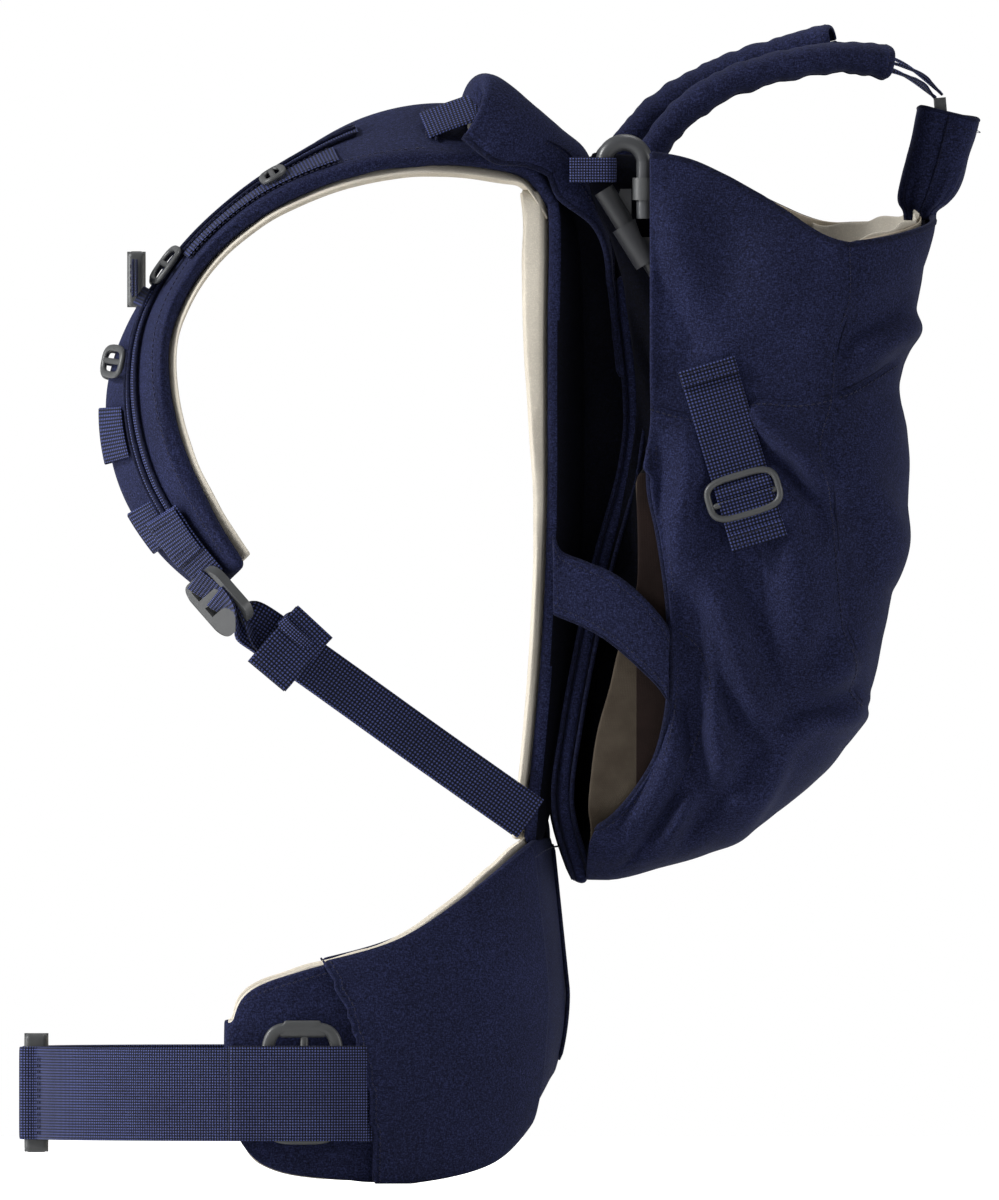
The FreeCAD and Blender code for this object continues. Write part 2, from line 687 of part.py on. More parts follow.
# Side view outlines: everything above the pouch's top edge, and the leg opening.
ABOVE_POUCH = ((40, 556), (70, 551), (108, 532), (136, 512), (158, 507), (212, 517), (212, 600), (40, 600))
LEG_OPENING = (
    (-10, 385), (47, 385), (54, 350), (58, 318), (59, 270), (52, 232), (38, 208), (24, 192), (-10, 192),
)
# The lining reaches further forward, as a soft facing inside the shell's leg opening.
LINING_OPENING = (
    (-10, 378), (43, 378), (41, 322), (33, 287), (26, 256), (24, 220), (24, 200), (26, 192), (-10, 192),
)


def front_panel():
    sections = []
    half = 4.6
    for x, z, half_width in FRONT_PANEL:
        sections.append(quad(Vector(x, 0, z), Y_AXIS, half_width, X_AXIS, -half, half))
    node(formed(loft(sections)), "seat_front_panel")


def pouch_block(inset, lift, front_reach=0.0):
    """The pouch's solid form, inset all round, with its floor lifted and its front pushed forward."""
    sections = []
    for z, front, rear, half_width in POUCH_LEVELS:
        raised = z + (lift if z < 300 else 0)
        corner = min(0.42 * (rear - front), 52)
        w, r, f = half_width - inset, rear - inset, front - front_reach
        outline = (
            (f, -w), (r - corner, -w), (r - 0.3 * corner, -w + 0.45 * corner), (r, -w + corner),
            (r, w - corner), (r - 0.3 * corner, w - 0.45 * corner), (r - corner, w), (f, w),
        )
        points = [Vector(x, y, raised) for x, y in outline]
        sections.append(Part.makePolygon(points + points[:1]))
    return loft(sections)


def pouch():
    """The outer fabric shell and its lining, open at the front, the top and the two leg openings."""
    wall, lining_wall, gap = size("pouch_wall"), size("pouch_lining_wall"), size("gap")
    above = extruded(ABOVE_POUCH, -160, 160)
    legs = extruded(LEG_OPENING, -160, 160)
    shell = pouch_block(0, 0).cut(pouch_block(wall, wall + 1, 40))
    shell = shell.cut(above).cut(legs)
    node(formed(largest(shell)), "pouch_shell")
    start = wall + gap
    lining = pouch_block(start, start + 1).cut(pouch_block(start + lining_wall, start + lining_wall + 1.2, 40))
    lower = above.copy()
    lower.translate(Vector(0, 0, -2))
    lining = lining.cut(lower).cut(extruded(LINING_OPENING, -160, 160))
    node(formed(largest(lining)), "pouch_lining")


def largest(shape):
    return max(shape.Solids, key=lambda solid: solid.Volume)


def inner_gussets():
    """Dark cloth at each side, closing the space between the back panel and the seat's front panel."""
    outline = ((12.8, 494), (26.5, 494), (31.5, 440), (29.6, 395), (21.8, 360), (16.4, 332), (12.8, 332))
    node(both_sides(formed(extruded(outline, -68, -66.4))), "inner_gussets")


def leg_bands():
    """A cloth band at each side, from the back panel to the edge of the leg opening."""
    stations = ((-4, -112, 336, 15), (14, -116, 331, 15), (34, -119.5, 316, 15), (50, -121.5, 298, 15), (58, -122, 286, 14))
    sections = []
    for i, (x, y, z, half) in enumerate(stations):
        before, after = stations[max(i - 1, 0)], stations[min(i + 1, len(stations) - 1)]
        run = Vector(after[0] - before[0], 0, after[2] - before[2]).normalize()
        sections.append(quad(Vector(x, y, z), Vector(-run.z, 0, run.x), half, Y_AXIS * -1, 0, 2.4))
    node(both_sides(formed(loft(sections))), "leg_bands")


# The side webbing lies on the pouch's side, leaning back as it goes down.
SIDE_TOP, SIDE_BOTTOM = Vector(79, -121.6, 443), Vector(106, -121.6, 345)


def side_webbings():
    along = (SIDE_BOTTOM - SIDE_TOP).normalize()
    across = Vector(-along.z, 0, along.x)
    half, thickness = size("side_webbing_width") / 2, size("webbing_thickness")
    ends = [quad(p, across, half, Y_AXIS * -1, 0, thickness) for p in (SIDE_TOP, SIDE_BOTTOM)]
    node(both_sides(formed(loft(ends))), "side_webbings")
    middle = SIDE_TOP + (SIDE_BOTTOM - SIDE_TOP) * 0.72 - Y_AXIS * (thickness + 2.4)
    turn = Rotation(along, across, along.cross(across), "XYZ")
    slots = ((-4.6, "4", "side_webbing_width + 1"), (4.6, "4", "side_webbing_width + 1"))
    slider = rounded_plate("20", "side_webbing_width + 2 * slider_bar", "3.2", 6.0, slots, Placement(middle, turn))
    node(slider, "side_slider_left")
    node(mirrored(slider), "side_slider_right")


# ------------------------------------------------------------------ seat frame
STRUT_DIRECTION = Vector(0.53, 0, -0.85).normalize()
HOOK_CENTRE = (34.5, 551.0)


def seat_frame():
    """On each side a hook, a socket for the telescopic strut, the strut and its spring button."""
    side_y = -size("frame_side_y") - 6
    x, z = HOOK_CENTRE
    radius = size("hook_bend_radius")
    facing = Rotation(X_AXIS, Vector(0, 0, 1), Vector(0, -1, 0), "XYZ")
    arch = bend("hook_bend_radius", "hook_tube_radius", (x, side_y, z), facing, 0, 180)
    front_leg = rod("hook_tube_radius", "9.6", (x - radius, side_y, z), (0, 0, -1))
    rear_leg = rod("hook_tube_radius", "30", (x + radius, side_y, z), (0, 0, -1))
    node(both_sides(fuse(arch, front_leg, rear_leg)), "frame_hooks")
    ring = rod("hook_tube_radius + 2.2", "12", (x + radius, side_y, z - 8), (0, 0, -1))
    ring_bore = rod("hook_tube_radius + 0.1", "16", (x + radius, side_y, z - 6), (0, 0, -1))
    node(both_sides(cut(ring, ring_bore)), "hook_collars")

    top = Vector(x - radius, side_y, z - 14.5)
    neck = rod("frame_rod_radius + 1.6", "26", tuple(top), tuple(STRUT_DIRECTION))
    barrel = rod("frame_collar_radius", "24", tuple(top + STRUT_DIRECTION * 22), tuple(STRUT_DIRECTION))
    web_outline = ((x - 2, z - 14), (x + 6, z - 14), (x + 6, z - 32), (x + 2, z - 40), (x - 6, z - 26))
    web = formed(extruded(web_outline, side_y - 1.6, side_y + 1.6))
    bore = rod("frame_rod_radius + running_gap", "40", tuple(top + STRUT_DIRECTION * 12), tuple(STRUT_DIRECTION))
    leg_clear = rod("hook_tube_radius + 2.8", "40", (x + radius, side_y, z), (0, 0, -1))
    node(both_sides(cut(fuse(neck, barrel, web), bore, leg_clear)), "strut_sockets")

    inserted = top + STRUT_DIRECTION * 16
    strut = rod("frame_rod_radius", "180", tuple(inserted), tuple(STRUT_DIRECTION))
    button_at = top + STRUT_DIRECTION * 56
    well = rod("button_radius + 0.1", "4", (button_at.x, side_y - 4.5, button_at.z), (0, 1, 0))
    drilled = cut(strut, well)
    node(drilled, "seat_strut_left")
    node(mirrored(drilled), "seat_strut_right")
    button = rod("button_radius", "3.2", (button_at.x, side_y - 5.4, button_at.z), (0, 1, 0))
    node(button, "strut_button_left")
    node(mirrored(button), "strut_button_right")


def hanger_webbings():
    """A loop of webbing round the front leg of each hook, running forward to the back panel."""
    side_y = -size("frame_side_y") - 6
    x = HOOK_CENTRE[0] - size("hook_bend_radius")
    reach = size("hook_tube_radius") + 1.3
    path = [(3, side_y - reach)]
    for degrees in (-90, -45, 0, 45, 90):
        angle = math.radians(degrees)
        path.append((x + reach * math.cos(angle), side_y + reach * math.sin(angle)))
    path.append((3, side_y + reach))
    loop = band(path, 547.2, 13, -size("webbing_thickness"), 0)
    node(both_sides(formed(loop)), "hanger_webbings")


# ------------------------------------------------------------------ child harness
LEFT_PAD = ((54, -64, 562), (63, -64, 574), (76, -62, 586), (103, -59, 600), (130, -55, 607), (157, -50, 608), (179, -46, 604))
RIGHT_PAD = ((52, 64, 562), (62, 63, 578), (78, 61, 593), (100, 58, 606), (124, 55, 615), (150, 51, 619))
TONGUE_TOP = Vector(206, 0, 586)


def path_loft(points, half_width, low, high):
    """A strip through (x, y, z) points, lying across Y."""
    sections = []
    last = len(points) - 1
    for i, point in enumerate(points):
        before, after = Vector(*points[max(i - 1, 0)]), Vector(*points[min(i + 1, last)])
        run = (after - before).normalize()
        out = run.cross(Y_AXIS).normalize()
        if out.z < 0:
            out = out * -1
        width = out.cross(run).normalize()
        sections.append(quad(Vector(*point), width, half_width, out, low, high))
    return loft(sections)


def child_harness():
    pads = [formed(path_loft(points, 15, -6.5, 6.5)) for points in (LEFT_PAD, RIGHT_PAD)]
    node(group(*pads), "child_shoulder_pads")
    webs = []
    for points, side in ((LEFT_PAD, -1), (RIGHT_PAD, 1)):
        x, y, z = points[-1]
        rise = (z + 587) / 2 + 6
        line = ((x + 6, y, z), ((x + 204) / 2 + 6, (y + side * 9) / 2, rise), (203, side * 9.2, 592))
        webs.append(formed(path_loft(line, 6, -1.2, 1.2)))
    node(group(*webs), "child_harness_webbings")


def rear_buckle():
    """The tongue on the child harness, and the socket and sleeve for it at the pouch's rear edge."""
    lean = Rotation(Y_AXIS, -5.0)

    def at(dx, dy, dz):
        return tuple(Vector(206, 0, 584) + lean.multVec(Vector(dx, dy, dz)))

    blade = block("tongue_thickness", "tongue_width", "tongue_length", at(-1.5, -10, -28), lean)
    head = block("6", "44", "9", at(-3, -22, -6), lean)
    left_slot = block("10", "16", "2.6", at(-5, -18, -2.6), lean)
    right_slot = block("10", "16", "2.6", at(-5, 2, -2.6), lean)
    node(cut(fuse(blade, head), left_slot, right_slot), "harness_tongue")
    case = block("12", "34", "20", at(-4.5, -17, -28), lean)
    slot = block("tongue_thickness + 2", "tongue_width + 1.6", "24", at(-2.1, -10.8, -29.2), lean)
    well = block("3.4", "11", "11", at(4.4, -5.5, -22), lean)
    node(cut(case, slot, well), "harness_socket")
    button = block("3", "10", "10", at(6.2, -5, -21.5), lean)
    node(button, "harness_release_button")
    outer_low, outer_high = ((184, 519), (205, 519)), ((194, 579), (227.5, 579))

    def ring(inset, extend):
        (a, z0), (b, _) = outer_low
        (c, z1), (d, _) = outer_high
        sections = []
        for left, right, z in ((a, b, z0 - extend), (c, d, z1 + extend)):
            w = 25 - inset
            corners = ((left + inset, -w), (right - inset, -w), (right - inset, w), (left + inset, w))
            points = [Vector(x, y, z) for x, y in corners]
            sections.append(Part.makePolygon(points + points[:1]))
        return loft(sections)

    node(formed(ring(0, 0).cut(ring(1.6, 5))), "rear_sleeve")


# ------------------------------------------------------------------ build, check and write
def build():
    back_panel()
    top_bar()
    top_hood()
    shoulder_straps()
    strap_fittings()
    ladder_locks()
    lower_webbings()
    hip_belt()
    belt_webbing()
    waist_buckle()
    chest_strap()
    strap_clips()
    front_panel()
    inner_gussets()
    pouch()
    leg_bands()
    side_webbings()
    seat_frame()
    hanger_webbings()
    child_harness()
    rear_buckle()


def check_and_write():
    doc.recompute()
    for made in doc.Objects:
        if "Invalid" in made.State or "Error" in made.State:
            raise RuntimeError(f"{made.Name} ({made.Label}) failed to build: {made.State}")
    # The origin is the middle of the plan, at the lowest point.
    overall = FreeCAD.BoundBox()
    for piece in parts:
        overall.add(piece.Shape.optimalBoundingBox(False))
    centre = overall.Center
    shift = Vector(-centre.x, -centre.y, -overall.ZMin)
    print("shift", shift)
    os.makedirs("parts", exist_ok=True)
    for piece in parts:
        shape = piece.Shape
        if shape.isNull() or not shape.isValid() or not shape.Solids or shape.Volume <= 0:
            raise RuntimeError(f"{piece.Label} has no valid solid")
        shape.translated(shift).exportStep(f"parts/{piece.Label}.step")
    print(len(parts), "nodes written")


build()
check_and_write()
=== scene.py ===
"""The looks of a soft baby carrier: cloth, padding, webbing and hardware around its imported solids."""

import math

import bpy
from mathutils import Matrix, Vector, noise


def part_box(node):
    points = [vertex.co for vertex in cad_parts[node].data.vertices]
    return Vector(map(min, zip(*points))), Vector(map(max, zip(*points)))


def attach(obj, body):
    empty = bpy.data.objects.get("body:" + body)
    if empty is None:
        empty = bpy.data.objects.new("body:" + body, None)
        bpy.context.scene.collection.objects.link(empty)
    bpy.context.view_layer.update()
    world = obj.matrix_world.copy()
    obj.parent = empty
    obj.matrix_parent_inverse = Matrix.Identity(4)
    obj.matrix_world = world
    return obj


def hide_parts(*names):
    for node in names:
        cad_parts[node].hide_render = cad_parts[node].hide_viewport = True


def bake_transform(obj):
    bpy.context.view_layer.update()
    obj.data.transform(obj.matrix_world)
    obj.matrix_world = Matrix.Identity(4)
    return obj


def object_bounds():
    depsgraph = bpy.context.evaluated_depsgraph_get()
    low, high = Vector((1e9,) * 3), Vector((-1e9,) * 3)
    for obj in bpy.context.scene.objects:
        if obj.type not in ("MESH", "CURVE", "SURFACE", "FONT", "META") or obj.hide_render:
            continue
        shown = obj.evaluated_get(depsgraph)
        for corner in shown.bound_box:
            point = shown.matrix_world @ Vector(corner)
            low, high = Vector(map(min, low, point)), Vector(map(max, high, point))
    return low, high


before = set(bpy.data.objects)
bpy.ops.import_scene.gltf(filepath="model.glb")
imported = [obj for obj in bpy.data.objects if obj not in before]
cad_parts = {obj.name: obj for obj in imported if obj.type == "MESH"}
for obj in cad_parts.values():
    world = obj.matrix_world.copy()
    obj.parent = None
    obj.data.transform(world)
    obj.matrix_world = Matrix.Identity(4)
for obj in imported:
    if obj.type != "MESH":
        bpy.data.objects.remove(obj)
cad_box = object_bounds()

# The crossbar's centre gives the step from design millimetres to the frame.
bar_low, bar_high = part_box("top_crossbar")
ORIGIN = (bar_low + bar_high) / 2 - Vector((-0.044, 0, 0.571))
X_AXIS, Y_AXIS, Z_AXIS = Vector((1, 0, 0)), Vector((0, 1, 0)), Vector((0, 0, 1))
SIDES = (("left", 1), ("right", -1))


def at(x, y, z):
    """A point in design millimetres, as a frame point in metres."""
    return Vector((x, y, z)) * 0.001 + ORIGIN


def flip(point, side):
    """The point itself for side 1, its mirror image across the middle plane for side -1."""
    return Vector((point.x, point.y * side, point.z))


# ------------------------------------------------------------------ numbers and curves
def ramp(value, low, high):
    """0 below low, 1 above high, smooth between."""
    t = min(max((value - low) / (high - low), 0.0), 1.0)
    return t * t * (3 - 2 * t)


def bump(value, centre, width):
    """A bell curve: 1 at its centre, falling to 0 on both sides."""
    return math.exp(-((value - centre) / width) ** 2)


def signed_power(value, power):
    """A number from -1 to 1 raised to a power with its sign kept; powers below 1 make rounded squares."""
    return math.copysign(abs(value) ** power, value)


def circle(count):
    """The angles of count points round a circle."""
    return [2 * math.pi * k / count for k in range(count)]


def column(rows, n):
    """Entry n of every row."""
    return [row[n] for row in rows]


def wobble(point, scale, seed=0.0):
    """Smooth noise from -1 to 1 at a frame point; scale is the size of a wave in metres."""
    return noise.noise(point / scale + Vector((seed, seed * 0.7, seed * 1.3)))


def catmull(before, here, there, after, t):
    a = 2 * here
    b = there - before
    c = 2 * before - 5 * here + 4 * there - after
    d = 3 * here - before - 3 * there + after
    return 0.5 * (a + b * t + c * t * t + d * t * t * t)


def follow(table, key):
    """The second number of a table of rising pairs, smoothly read at a key."""
    if key <= table[0][0]:
        return table[0][1]
    if key >= table[-1][0]:
        return table[-1][1]
    n = max(k for k in range(len(table) - 1) if table[k][0] <= key)
    t = (key - table[n][0]) / (table[n + 1][0] - table[n][0])
    four = [table[min(max(k, 0), len(table) - 1)][1] for k in (n - 1, n, n + 1, n + 2)]
    return catmull(*four, t)


def smooth_path(stations, count):
    """Tuples of numbers resampled to count tuples along a smooth curve through the stations."""
    found = []
    last = len(stations) - 1
    for i in range(count):
        place = i / (count - 1) * last
        n = min(int(place), last - 1)
        t = place - n
        four = [stations[min(max(k, 0), last)] for k in (n - 1, n, n + 1, n + 2)]
        found.append(tuple(catmull(*values, t) for values in zip(*four)))
    return found


def even_path(stations, count):
    """As smooth_path, with even steps along the first three numbers."""
    dense = smooth_path(stations, count * 8)
    lengths = [0.0]
    for a, b in zip(dense, dense[1:]):
        lengths.append(lengths[-1] + (Vector(b[:3]) - Vector(a[:3])).length)
    found = []
    n = 0
    for i in range(count):
        goal = lengths[-1] * i / (count - 1)
        while n < len(dense) - 2 and lengths[n + 1] < goal:
            n += 1
        step = lengths[n + 1] - lengths[n]
        t = (goal - lengths[n]) / step if step else 0.0
        found.append(tuple(a + (b - a) * t for a, b in zip(dense[n], dense[n + 1])))
    return found


def heading(path, i, axes=(1, 1, 1)):
    """A path's direction at its entry i, within the axes that are kept."""
    before, after = path[max(i - 1, 0)], path[min(i + 1, len(path) - 1)]
    return Vector([(b - a) * keep for a, b, keep in zip(before, after, axes)]).normalized()


FROM_SIDE = (1, 0, 1)
FROM_ABOVE = (1, 1, 0)


# ------------------------------------------------------------------ meshes
def add(name, data):
    """A new object in the scene."""
    made = bpy.data.objects.new(name, data)
    bpy.context.scene.collection.objects.link(made)
    return made


def make(name, verts, faces, material, uvs=None, smooth=True):
    """A mesh object; uvs holds one (u, v) in metres for each vertex."""
    mesh = bpy.data.meshes.new(name)
    mesh.from_pydata([tuple(v) for v in verts], [], faces)
    mesh.validate()
    mesh.update()
    if uvs:
        layer = mesh.uv_layers.new(name="UVMap")
        for loop in mesh.loops:
            layer.data[loop.index].uv = uvs[loop.vertex_index]
    if smooth:
        mesh.polygons.foreach_set("use_smooth", [True] * len(mesh.polygons))
    mesh.materials.append(material)
    return add(name, mesh)


def place(made, body, slot, nodes=(), side=1):
    """Attach a piece to its body; the slot is not used. Of two mirrored pieces, the left one stands for the CAD
    nodes.
    """
    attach(made, body)
    if nodes and side > 0:
        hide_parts(*nodes)


def bridge(made, node, side):
    """For cloth that runs from a point on the carrier to a point on the seat: its transform is baked into its
    mesh and it is attached to no body; the left one of a pair stands for the CAD node.
    """
    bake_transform(made)
    if side > 0:
        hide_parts(node)


def grid_faces(rows, columns, wrap=False, start=0):
    faces = []
    span = columns if wrap else columns - 1
    for i in range(rows - 1):
        for j in range(span):
            k = (j + 1) % columns
            faces.append((start + i * columns + j, start + i * columns + k,
                          start + (i + 1) * columns + k, start + (i + 1) * columns + j))
    return faces


def tube(name, rings, material, caps=True, side=1):
    """A loft through rings of points, closed at both ends. side -1 mirrors it across the middle plane."""
    columns = len(rings[0])
    verts = [flip(p, side) for ring in rings for p in ring]
    faces = grid_faces(len(rings), columns, wrap=True)
    if caps:
        faces.append(tuple(reversed(range(columns))))
        faces.append(tuple(range((len(rings) - 1) * columns, len(rings) * columns)))
    if side < 0:
        faces = [tuple(reversed(f)) for f in faces]
    uvs = []
    along = 0.0
    centres = [sum(ring, Vector()) / columns for ring in rings]
    for i, ring in enumerate(rings):
        if i:
            along += (centres[i] - centres[i - 1]).length
        round_ = 0.0
        for j, p in enumerate(ring):
            if j:
                round_ += (p - ring[j - 1]).length
            uvs.append((along, round_))
    return make(name, verts, faces, material, uvs)


def sheet(name, rows, material, thickness, side=1, outward=1):
    """A cloth sheet of some thickness on a grid of points, its edges rounded by two rows of points."""
    count, columns = len(rows), len(rows[0])
    points = [[flip(p, side) for p in row] for row in rows]

    def slope(i, j):
        down = points[min(i + 1, count - 1)][j] - points[max(i - 1, 0)][j]
        over = points[i][min(j + 1, columns - 1)] - points[i][max(j - 1, 0)]
        normal = over.cross(down)
        return normal.normalized() * outward if normal.length > 1e-12 else Vector()

    front, back = [], []
    for i in range(count):
        for j in range(columns):
            shift = slope(i, j) * (thickness / 2)
            front.append(points[i][j] + shift)
            back.append(points[i][j] - shift)
    total = count * columns
    faces = [tuple(reversed(f)) for f in grid_faces(count, columns)]
    faces += grid_faces(count, columns, start=total)
    rim = [j for j in range(columns)]
    rim += [i * columns + columns - 1 for i in range(1, count)]
    rim += [(count - 1) * columns + j for j in range(columns - 2, -1, -1)]
    rim += [i * columns for i in range(count - 2, 0, -1)]
    for n, a in enumerate(rim):
        b = rim[(n + 1) % len(rim)]
        faces.append((a, b, b + total, a + total))
    if side * outward < 0:
        faces = [tuple(reversed(f)) for f in faces]
    uvs = []
    for i in range(count):
        for j in range(columns):
            u = sum((points[k + 1][j] - points[k][j]).length for k in range(i)) if j == 0 else 0
            uvs.append([u, 0.0])
    for i in range(count):
        across = 0.0
        for j in range(columns):
            if j:
                across += (points[i][j] - points[i][j - 1]).length
            uvs[i * columns + j] = (uvs[i * columns][0], across)
    return make(name, front + back, faces, material, uvs + uvs)


def superellipse(centre, across, out, half_width, low, high, points=28, power=0.55):
    """A ring round a section: an oval at power 1, flatter on its faces at smaller powers."""
    middle, half = (low + high) / 2, (high - low) / 2
    return [centre + across * (signed_power(math.cos(angle), power) * half_width)
            + out * (middle + signed_power(math.sin(angle), power) * half) for angle in circle(points)]


def rounded_strip(name, frames, half_width, low, high, material, side=1, end_round=True, points=28,
                  power=0.55):
    """A pad or a webbing strip along frames of (centre, across, out, width share)."""
    rings = []
    last = len(frames) - 1
    for centre, across, out, share in frames:
        rings.append(superellipse(centre, across, out, half_width * share, low, high, points, power))
    if end_round:
        middle, half = (low + high) / 2, (high - low) / 2
        for end, inner in ((0, 1), (last, last - 1)):
            centre, across, out, share = frames[end]
            step = (centre - frames[inner][0]).normalized() * half
            extra = []
            for angle in (30, 60, 82):
                turn = math.radians(angle)
                shrink = math.cos(turn)
                wide = half_width * share - half * (1 - shrink)
                extra.append(superellipse(centre + step * math.sin(turn), across, out, wide,
                                          middle - half * shrink, middle + half * shrink, points, power))
            rings = list(reversed(extra)) + rings if end == 0 else rings + extra
    return tube(name, rings, material, side=side)


def polish(made, levels=1):
    modifier = made.modifiers.new("Smooth", "SUBSURF")
    modifier.levels = levels
    modifier.render_levels = levels
    return made


def join(pieces, name):
    """Several objects as one piece."""
    bpy.context.view_layer.update()
    bpy.ops.object.select_all(action="DESELECT")
    for one in pieces:
        one.select_set(True)
    bpy.context.view_layer.objects.active = pieces[0]
    bpy.ops.object.join()
    joined = bpy.context.view_layer.objects.active
    joined.name = name
    joined.data.name = name
    return joined


CLOTH_FRAMES = 20


def inflate(made, pressure, cap):
    """Padding by cloth simulation: the pad is blown up a little, held to cap and smoothed."""
    start = [v.co.copy() for v in made.data.vertices]
    cloth = made.modifiers.new("Cloth", "CLOTH")
    cloth.settings.use_pressure = True
    cloth.settings.uniform_pressure_force = pressure
    cloth.settings.quality = 4
    cloth.settings.effector_weights.gravity = 0
    cloth.settings.tension_stiffness = 10
    cloth.settings.compression_stiffness = 10
    cloth.settings.bending_stiffness = 0.6
    cloth.point_cache.frame_start = 1
    cloth.point_cache.frame_end = CLOTH_FRAMES
    scene = bpy.context.scene
    for number in range(1, CLOTH_FRAMES + 1):
        scene.frame_set(number)
    depsgraph = bpy.context.evaluated_depsgraph_get()
    moved = [v.co.copy() for v in made.evaluated_get(depsgraph).data.vertices]
    made.modifiers.remove(cloth)
    scene.frame_set(1)
    for vertex, was, now in zip(made.data.vertices, start, moved):
        step = now - was
        if step.length > cap:
            step = step * (cap / step.length)
        vertex.co = was + step
    made.data.polygons.foreach_set("use_smooth", [True] * len(made.data.polygons))
    return polish(made)


def stitches(name, path, normals, material, length=0.0022, gap=0.0011, radius=0.00032, lift=0.0001, side=1):
    """A row of short threads lying on a surface along a path of points."""
    verts, faces = [], []
    travelled = [0.0]
    for a, b in zip(path, path[1:]):
        travelled.append(travelled[-1] + (b - a).length)

    def point(distance):
        n = 0
        while n < len(path) - 2 and travelled[n + 1] < distance:
            n += 1
        step = travelled[n + 1] - travelled[n] or 1.0
        t = min(max((distance - travelled[n]) / step, 0.0), 1.0)
        normal = (normals[n] * (1 - t) + normals[n + 1] * t).normalized()
        return path[n].lerp(path[n + 1], t), normal

    reach = 0.0
    while reach + length < travelled[-1]:
        start = len(verts)
        (a, na), (b, _) = point(reach), point(reach + length)
        run = (b - a).normalized()
        width = run.cross(na).normalized()
        for share, size in ((0.0, 0.35), (0.25, 1.0), (0.75, 1.0), (1.0, 0.35)):
            centre = a.lerp(b, share) + na * (lift + radius * (1.3 * size - 0.9))
            for angle in circle(6):
                offset = (width * math.cos(angle) + na * math.sin(angle)) * (radius * size)
                verts.append(flip(centre + offset, side))
        faces += grid_faces(4, 6, wrap=True, start=start)
        faces.append(tuple(start + k for k in reversed(range(6))))
        faces.append(tuple(start + 18 + k for k in range(6)))
        reach += length + gap
    if side < 0:
        faces = [tuple(reversed(f)) for f in faces]
    return make(name, verts, faces, material)


def cord(name, path, radius, material, side=1, sides=10):
    """A round cord such as piping along a path of points."""
    rings = []
    last = len(path) - 1
    up = Vector((0, 0, 1))
    for i, p in enumerate(path):
        run = (path[min(i + 1, last)] - path[max(i - 1, 0)]).normalized()
        over = run.cross(up)
        over = over.normalized() if over.length > 0.1 else run.cross(X_AXIS).normalized()
        up = over.cross(run).normalized()
        size = radius * (0.4 if i in (0, last) else 1.0)
        rings.append(superellipse(p, over, up, size, -size, size, sides, 1))
    return tube(name, rings, material, side=side)


def stitch_row(name, rows, side=1):
    """Stitches along rows that hold a point first and its outward direction third."""
    return stitches(name, column(rows, 0), column(rows, 2), thread, side=side)


def mirror_copy(made, name):
    """The same piece on the other side of the middle plane."""
    twin = add(name, made.data.copy())
    for vertex in twin.data.vertices:
        vertex.co.y = -vertex.co.y
    twin.data.flip_normals()
    return polish(twin)


